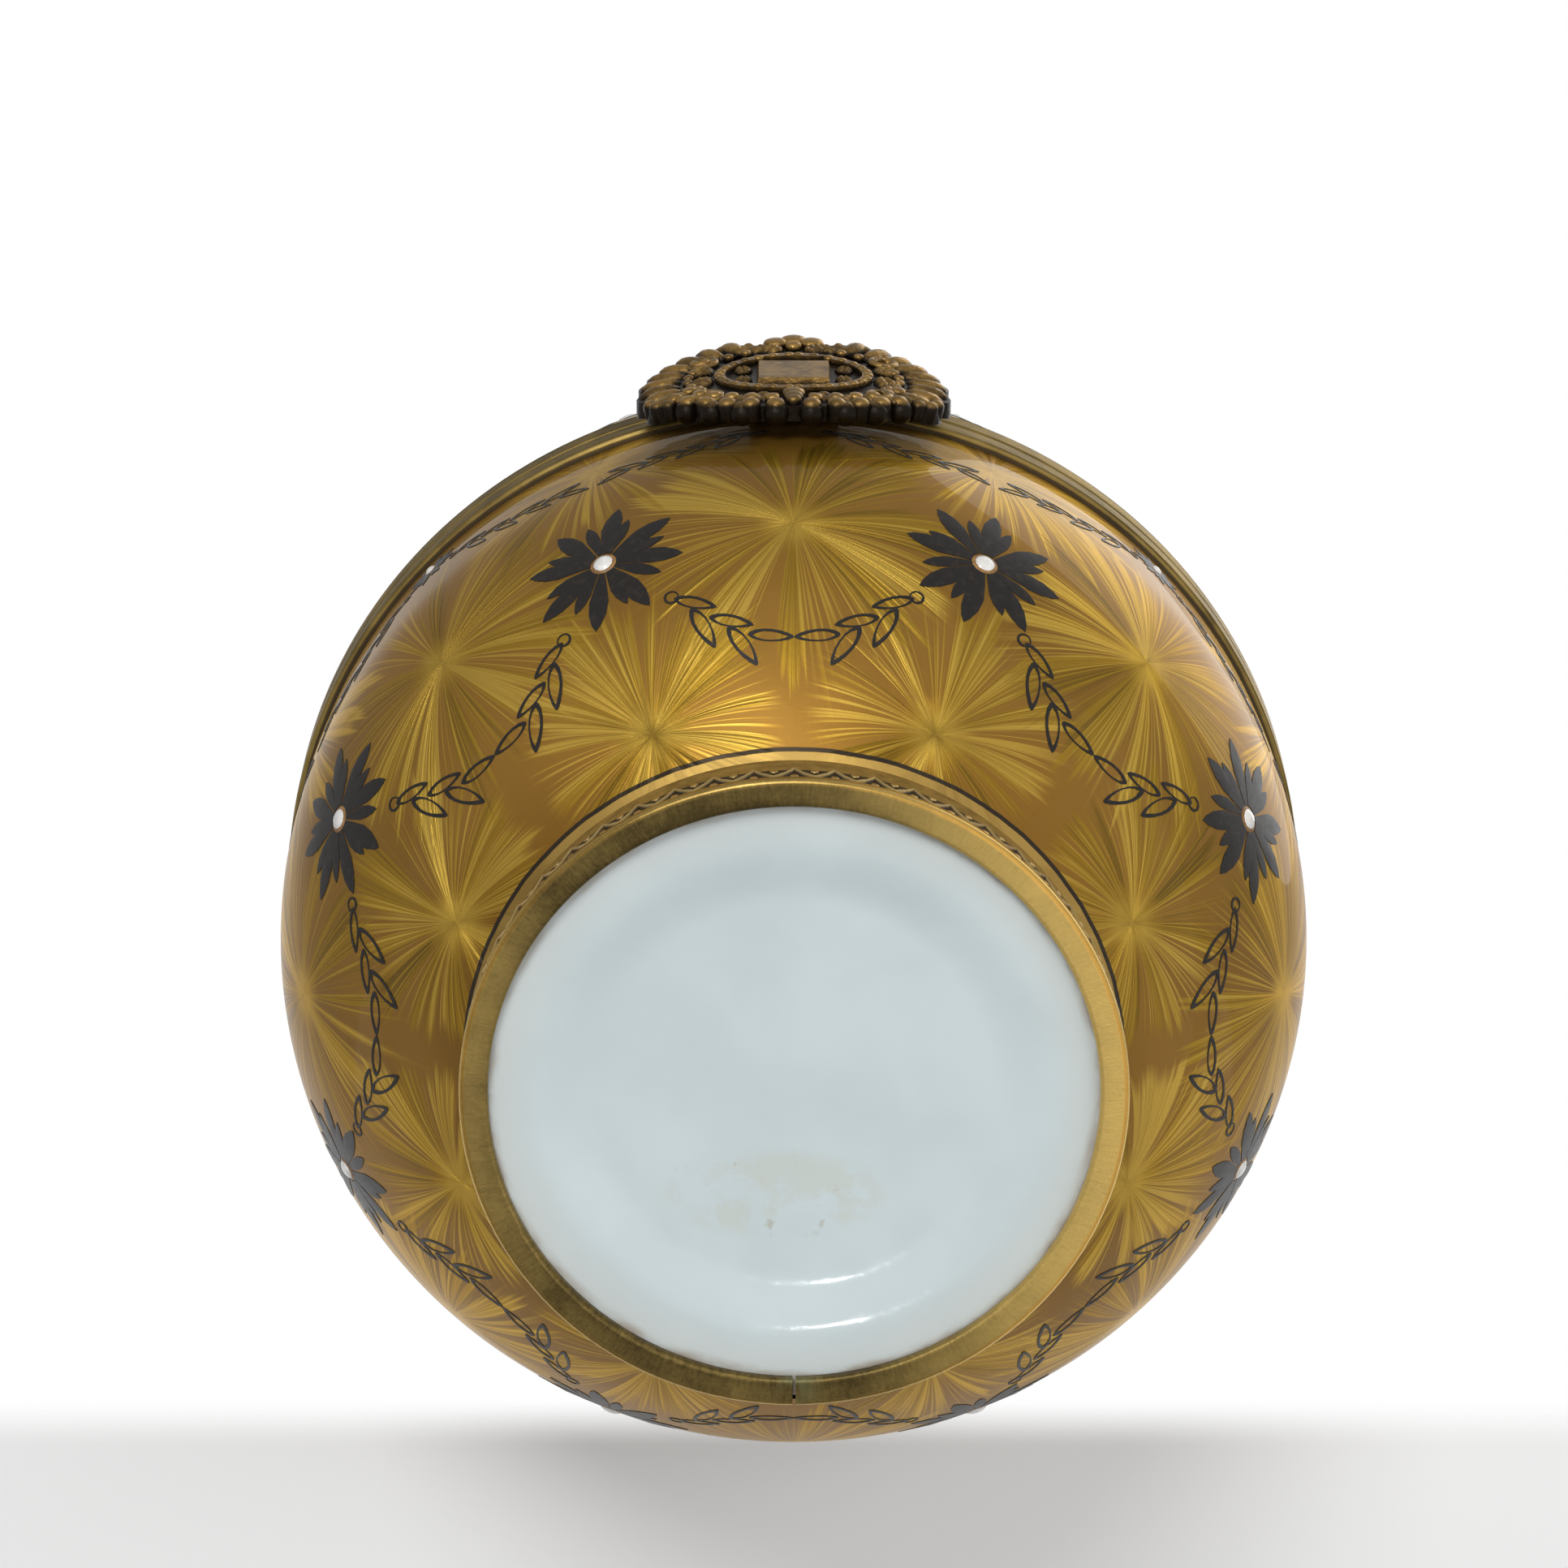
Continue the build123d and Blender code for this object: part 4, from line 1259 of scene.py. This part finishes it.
class EGGBOX_OT_rims(bpy.types.Operator):
    """Turn the reeded brass rims of the bowl and the lid"""

    bl_idname = "eggbox.rims"
    bl_label = "Girth rims"

    def execute(self, context):
        sizes, colours = context.scene.egg_sizes, context.scene.egg_colours
        low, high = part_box("bowl_rim")
        lid_low, lid_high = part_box("lid_rim")
        half = sizes.upper_half_axis - sizes.bowl_wall
        share = (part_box("bowl")[1].z - sizes.belly_height) / half
        collar = (sizes.belly_radius - sizes.bowl_wall) * math.sqrt(1 - share**2) - sizes.collar_gap
        inner, outer = collar - sizes.collar_wall, collar + sizes.collar_play
        top = high.z - sizes.collar_rise
        seat, lid_seat = top - sizes.rim_flange, lid_low.z + sizes.rim_flange
        skirt, lid_skirt = (
            float(egg_radius(sizes, shoulder)) - sizes.lip_rebate + sizes.rim_bed
            for shoulder in (sizes.bowl_shoulder, sizes.lid_shoulder)
        )
        corners = [(collar, top), (collar, high.z), (inner, high.z), (inner, seat)]
        corners += [(skirt, seat), (skirt, low.z)]
        lid_corners = [(lid_skirt, lid_high.z), (lid_skirt, lid_seat)]
        lid_corners += [(outer, lid_seat), (outer, lid_low.z)]
        # Inner corners, radius, foot and top of the outer face, and its edge at the painting
        for body, points, reach, bottom, upper, edge in (
            ("bowl", corners, high.x, low.z, top, low.z),
            ("lid", lid_corners, lid_high.x, lid_low.z, lid_high.z, lid_high.z),
        ):
            brass = turned_brass(f"{body}_rim_brass", colours, edge / MM, reach / MM)
            section = rim_section(sizes, points, reach, bottom, upper)
            piece = turned(f"{body}_rim_band", section, sizes, brass)
            ride_and_slot(piece, body, "brass", f"{body}_rim")
        return {"FINISHED"}


class EGGBOX_OT_foot(bpy.types.Operator):
    """Finish the foot ring and set the gallery strip round it"""

    bl_idname = "eggbox.foot"
    bl_label = "Foot ring and gallery"

    def execute(self, context):
        sizes, colours = context.scene.egg_sizes, context.scene.egg_colours
        dress("foot_ring", foot_brass(colours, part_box("foot_ring")[1].x / MM))
        low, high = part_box("foot_gallery")
        face, count = high.x, sizes.gallery_steps
        wall = face - sizes.gallery_depth
        plate, start = wall + 0.05 * MM, wall + 0.03 * MM
        finish = gallery_brass(colours, wall / MM + 0.09, face / MM - 0.05)
        band = [(wall, low.z), (plate, low.z), (plate, high.z), (wall, high.z), (wall, low.z)]
        pieces = [turned("gallery_back", measured(band), sizes, finish)]
        tree = setting_tree()
        depth = face - wall - 0.06 * MM
        gull = gull_motif(FULL_TURN * face / count, high.z - low.z, depth)
        half = 0.5 * FULL_TURN / count
        small = (0.34 * MM, 0.34 * MM, 0.26 * MM)
        # Rings of motifs: height over the strip's foot, first turn, tilt and size
        for kind, shape, rows in (
            ("gull", gull, ((0.0, 0.0, 0.0, (1, 1, 1)),)),
            ("stud", stud_motif(), ((1.75, half, math.pi / 2, small), (0.55, 0.0, math.pi / 2, small))),
        ):
            motif = show(f"{kind}_motif", shape)
            spots = []
            for height, first, tilt, size in rows:
                places = circle(count, start, low.z + height * MM, first)
                turns = [(0, tilt, first + turn) for turn in around(count)]
                spots += zip(places, turns, [size] * count)
            places, turns, widths = zip(*spots)
            mesh = point_mesh(f"{kind}_points", places, turned=turns, size=widths)
            pieces.append(tree.make(f"gallery_{kind}s", mesh, motif=motif, finish=finish))
            outward(pieces[-1].data)
            bpy.data.objects.remove(motif)
        ride_and_slot(joined("gallery_strip", pieces), "bowl", "brass", "foot_gallery")
        return {"FINISHED"}


class EGGBOX_OT_hinge(bpy.types.Operator):
    """Finish the hinge leaves, the pin, the catch and the bedding"""

    bl_idname = "eggbox.hinge"
    bl_label = "Hinge, catch and bedding"

    def execute(self, context):
        brass = worn_brass(context.scene.egg_colours)
        for node in ("bowl_hinge_leaf", "lid_hinge_leaf", "hinge_pin", "catch_bead", "clasp_tongue"):
            dress(node, brass)
        plaster = bedding_plaster()
        for node in ("bowl_rim_bedding", "lid_rim_bedding", "foot_ring_bedding"):
            dress(node, plaster)
        return {"FINISHED"}


class EGGBOX_OT_clasp(bpy.types.Operator):
    """Finish the clasp plate and cast its relief: studs, flutes, scrolls and leaves"""

    bl_idname = "eggbox.clasp"
    bl_label = "Clasp ornament"

    # Leaves: place on the plate to the right of its middle and over it, heading in degrees, and size
    LEAVES = (
        (1.3, 7.5, 20, (6.2, 4.6, 0.8)),
        (0.9, 6.5, 55, (3.6, 3.6, 0.8)),
        (5.9, 6.7, -20, (4.0, 4.2, 0.8)),
        (1.0, -6.6, -20, (5.4, 4.4, 0.8)),
        (5.0, -6.8, 18, (4.4, 4.2, 0.8)),
        (7.0, -4.5, 50, (3.8, 4.0, 0.8)),
        (7.2, 1.0, 76, (3.8, 4.0, 0.8)),
        (7.2, 0.7, -76, (3.8, 4.0, 0.8)),
        (4.0, 0.2, 82, (2.9, 3.0, 0.7)),
        (4.0, -0.3, -82, (2.9, 3.0, 0.7)),
    )
    SCROLLS = ((7.6, 5.0, 200), (7.2, -5.6, 120))
    # Studs on the middle line: place over the plate's middle and radius
    MIDDLE_STUDS = ((10.2, 1.1), (-6.6, 0.95), (-7.7, 0.8), (-8.7, 0.66), (8.3, 0.7))

    def execute(self, context):
        sizes = context.scene.egg_sizes
        crown = -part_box("clasp_plate")[0].y
        face = crown - sizes.relief_depth
        finish = antique_brass(face / MM + 0.02, crown / MM - 0.08)
        for node in ("clasp_plate", "clasp_rivets"):
            dress(node, finish)
        curl = {"turns": 1.5, "thickness": 0.42 * MM}
        curl |= {"inner_radius": 0.3 * MM, "outer_radius": 1.6 * MM}
        seed = point_mesh("scroll_seed", [(0, 0, 0)])
        motifs = {
            "stud": show("stud_motif", stud_motif()),
            "drop": show("drop_motif", drop_motif()),
            "leaf": show("acanthus_motif", acanthus_motif()),
            "scroll": scroll_tree().make("scroll_motif", seed, finish=finish, **curl),
        }
        spots = self.layout_of(motifs, face, sizes.clasp_height)
        tree, pieces = setting_tree(), []
        for name, motif in motifs.items():
            places, turns, widths = zip(*spots[name])
            mesh = point_mesh(f"{name}_points", places, turned=turns, size=widths)
            pieces.append(tree.make(f"clasp_{name}", mesh, motif=motif, finish=finish))
            outward(pieces[-1].data)
            bpy.data.objects.remove(motif)
        piece = joined("clasp_relief", pieces)
        bend(piece.data, face, crown)
        ride_and_slot(piece, "lid", "antique_brass")
        return {"FINISHED"}

    def layout_of(self, kinds, face, middle):
        """Place, turn and size of each motif on the plate, by kind."""
        spots = {kind: [] for kind in kinds}

        def put(kind, u, v, heading, size, sink=0.15, both=True):
            """Sets a motif at a place on the plate's face, and its mirror image on the other half."""
            for side in (1, -1) if both else (1,):
                place = (side * u * MM, sink * MM - face, middle + v * MM)
                turn = (math.pi / 2, -math.radians(heading if side > 0 else 180 - heading), 0)
                spots[kind].append((place, turn, [part * MM for part in size]))

        def oval(angle, wide, tall):
            return wide * math.cos(math.radians(angle)), tall * math.sin(math.radians(angle))

        for angle in np.linspace(-27, 63, 9):
            put("drop", *oval(angle, 9.3, 8.0), angle, (3.7, 2.3, 0.82))
            put("stud", *oval(angle, 8.75, 7.5), 0, (0.45, 0.45, 0.7))
        for angle in np.linspace(283.6, 338, 6):
            put("stud", *oval(angle - 6, 11.05, 9.6), 0, (0.86, 0.86, 1.9), 1.25)
            put("stud", *oval(angle - 3, 9.45, 8.2), 0, (0.62, 0.62, 0.8))
        lobe_u, lobe_v = oval(-24, 11.2, 9.7)
        for angle in (-128, -88, -48, -8):
            u, v = oval(angle, 1.55, 1.55)
            put("stud", lobe_u + u, lobe_v + v, 0, (0.66, 0.66, 1.75), 1.25)
        for angle in np.linspace(-86.5, 86.5, 15):
            put("stud", *oval(angle, 6.15, 5.15), 0, (0.44, 0.44, 0.74))
        for leaf in self.LEAVES:
            put("leaf", *leaf)
        for u, v, heading in self.SCROLLS:
            put("scroll", u, v, heading, (1 / MM,) * 3, -0.2)
        for v, size in self.MIDDLE_STUDS:
            put("stud", 0, v, 0, (size, size, 0.98), 0.3, both=False)
        put("stud", 1.5, 9.5, 0, (1.05, 1.05, 0.95), 0.3)
        return spots


class EGGBOX_OT_stage(bpy.types.Operator):
    """Set the camera, the floor and plain soft light"""

    bl_idname = "eggbox.stage"
    bl_label = "Stage"

    def execute(self, context):
        scene = context.scene
        stage = scene.egg_stage
        scene.view_settings.view_transform = "Standard"
        self.camera(scene, stage)
        for name, (place, width) in LAMPS.items():
            self.lamp(scene, f"{name}_lamp", Vector(place), width, getattr(stage, name))
        self.world(scene)
        self.floor(stage)
        return {"FINISHED"}

    def camera(self, scene, stage):
        data = bpy.data.cameras.new("camera")
        data.sensor_width = PICTURE_WIDTH
        data.lens = stage.lens
        data.clip_start, data.clip_end = 0.01, 50
        camera = bpy.data.objects.new("camera", data)
        scene.collection.objects.link(camera)
        camera.location = CAMERA_PLACE
        camera.rotation_euler = (math.pi - CAMERA_TILT, 0, 0)
        scene.camera = camera

    def lamp(self, scene, name, place, width, strength):
        data = bpy.data.lights.new(name, "AREA")
        data.shape = "DISK"
        data.size = width
        data.energy = strength
        lamp = bpy.data.objects.new(name, data)
        scene.collection.objects.link(lamp)
        lamp.location = place
        lamp.rotation_euler = (Vector(LAMP_TARGET) - place).to_track_quat("-Z", "Y").to_euler()

    def world(self, scene):
        """Even light, brighter overhead and behind, where the photograph's view looks."""
        world = bpy.data.worlds.new("soft_studio")
        world.use_nodes = True
        world.node_tree.nodes.clear()
        tree = Tree(world.node_tree)
        there = tree.add("ShaderNodeTexCoord", out="Generated")
        overhead = tree.vector_math("DOT_PRODUCT", there, (0.0, 0.6, 0.8)).also("Value")
        light = 0.4 + 0.6 * overhead.rise(0.6, 0.9)
        back = tree.add("ShaderNodeBackground", None, {"Color": (1, 1, 1, 1), "Strength": light})
        tree.add("ShaderNodeOutputWorld", None, {"Surface": back})
        scene.world = world

    def floor(self, stage):
        """Floor under the foot, and a shelf behind the egg for its shadow in the view from below."""
        far, wide, fade = 3.0, 0.5, 5.0
        corners = [(-far, -far, 0), (far, -far, 0), (far, far, 0), (-far, far, 0)]
        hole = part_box("foot_ring")[1].x / MM
        self.pale_sheet("floor", corners, stage.floor, "radius", hole - 0.6, hole - 0.2)
        near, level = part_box("lid_hinge_leaf")[1].y + 0.4 * MM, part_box("bowl")[1].z
        corners = [(-wide, near, level), (-wide, wide, level), (wide, wide, level), (wide, near, level)]
        self.pale_sheet("shelf", corners, stage.shelf, "y", near / MM, near / MM + fade)

    def pale_sheet(self, name, corners, tint, word, clear_to, full_from):
        """Matt sheet that shows on its own side only, past a radius or y, and lets light through."""
        mesh = bpy.data.meshes.new(name)
        mesh.from_pydata(corners, [], [(0, 1, 2, 3)])
        sheet = show(name, mesh)
        tree = Finish(f"pale_{name}")
        at = tree.place()
        ray = tree.add("ShaderNodeLightPath", out="Is Camera Ray")
        seen = ray.most(ray.also("Is Glossy Ray")).most(ray.also("Is Transmission Ray"))
        seen = seen * (1 - tree.add("ShaderNodeNewGeometry", out="Backfacing"))
        seen = seen * getattr(at, word).rise(clear_to, full_from)
        base = tree.mix(tree.noise(at.where, 30.0, 2.0), shade(tint), shade(tint, 0.97))
        matt = tree.add("ShaderNodeBsdfDiffuse", None, {"Color": base})
        clear = tree.add("ShaderNodeBsdfTransparent")
        mixed = tree.add("ShaderNodeMixShader", None, {0: seen, 1: clear, 2: matt})
        tree.add("ShaderNodeOutputMaterial", None, {"Surface": mixed})
        mesh.materials.append(tree.material)


class EGGBOX_PT_panel(bpy.types.Panel):
    """Steps that dress the egg box"""

    bl_idname = "EGGBOX_PT_panel"
    bl_label = "Egg box"
    bl_space_type = "VIEW_3D"
    bl_region_type = "UI"
    bl_category = "Egg box"

    def draw(self, context):
        for step in STEPS:
            self.layout.operator(step.bl_idname)


STEPS = (
    EGGBOX_OT_shells,
    EGGBOX_OT_painting,
    EGGBOX_OT_rims,
    EGGBOX_OT_foot,
    EGGBOX_OT_hinge,
    EGGBOX_OT_clasp,
    EGGBOX_OT_stage,
)
GROUPS = {
    "egg_sizes": EggSizes,
    "egg_paint": PaintSizes,
    "egg_colours": Colours,
    "egg_stage": StageSizes,
}


def register():
    for kind in (*GROUPS.values(), *STEPS, EGGBOX_PT_panel):
        bpy.utils.register_class(kind)
    for name, kind in GROUPS.items():
        setattr(bpy.types.Scene, name, PointerProperty(type=kind))


def unregister():
    for name in GROUPS:
        delattr(bpy.types.Scene, name)
    for kind in (EGGBOX_PT_panel, *reversed(STEPS), *reversed(GROUPS.values())):
        bpy.utils.unregister_class(kind)


def main():
    register()
    bpy.ops.eggbox.shells()
    bpy.ops.eggbox.painting()
    bpy.ops.eggbox.rims()
    bpy.ops.eggbox.foot()
    bpy.ops.eggbox.hinge()
    bpy.ops.eggbox.clasp()
    bpy.ops.eggbox.stage()


if __name__ == "__main__":
    main()
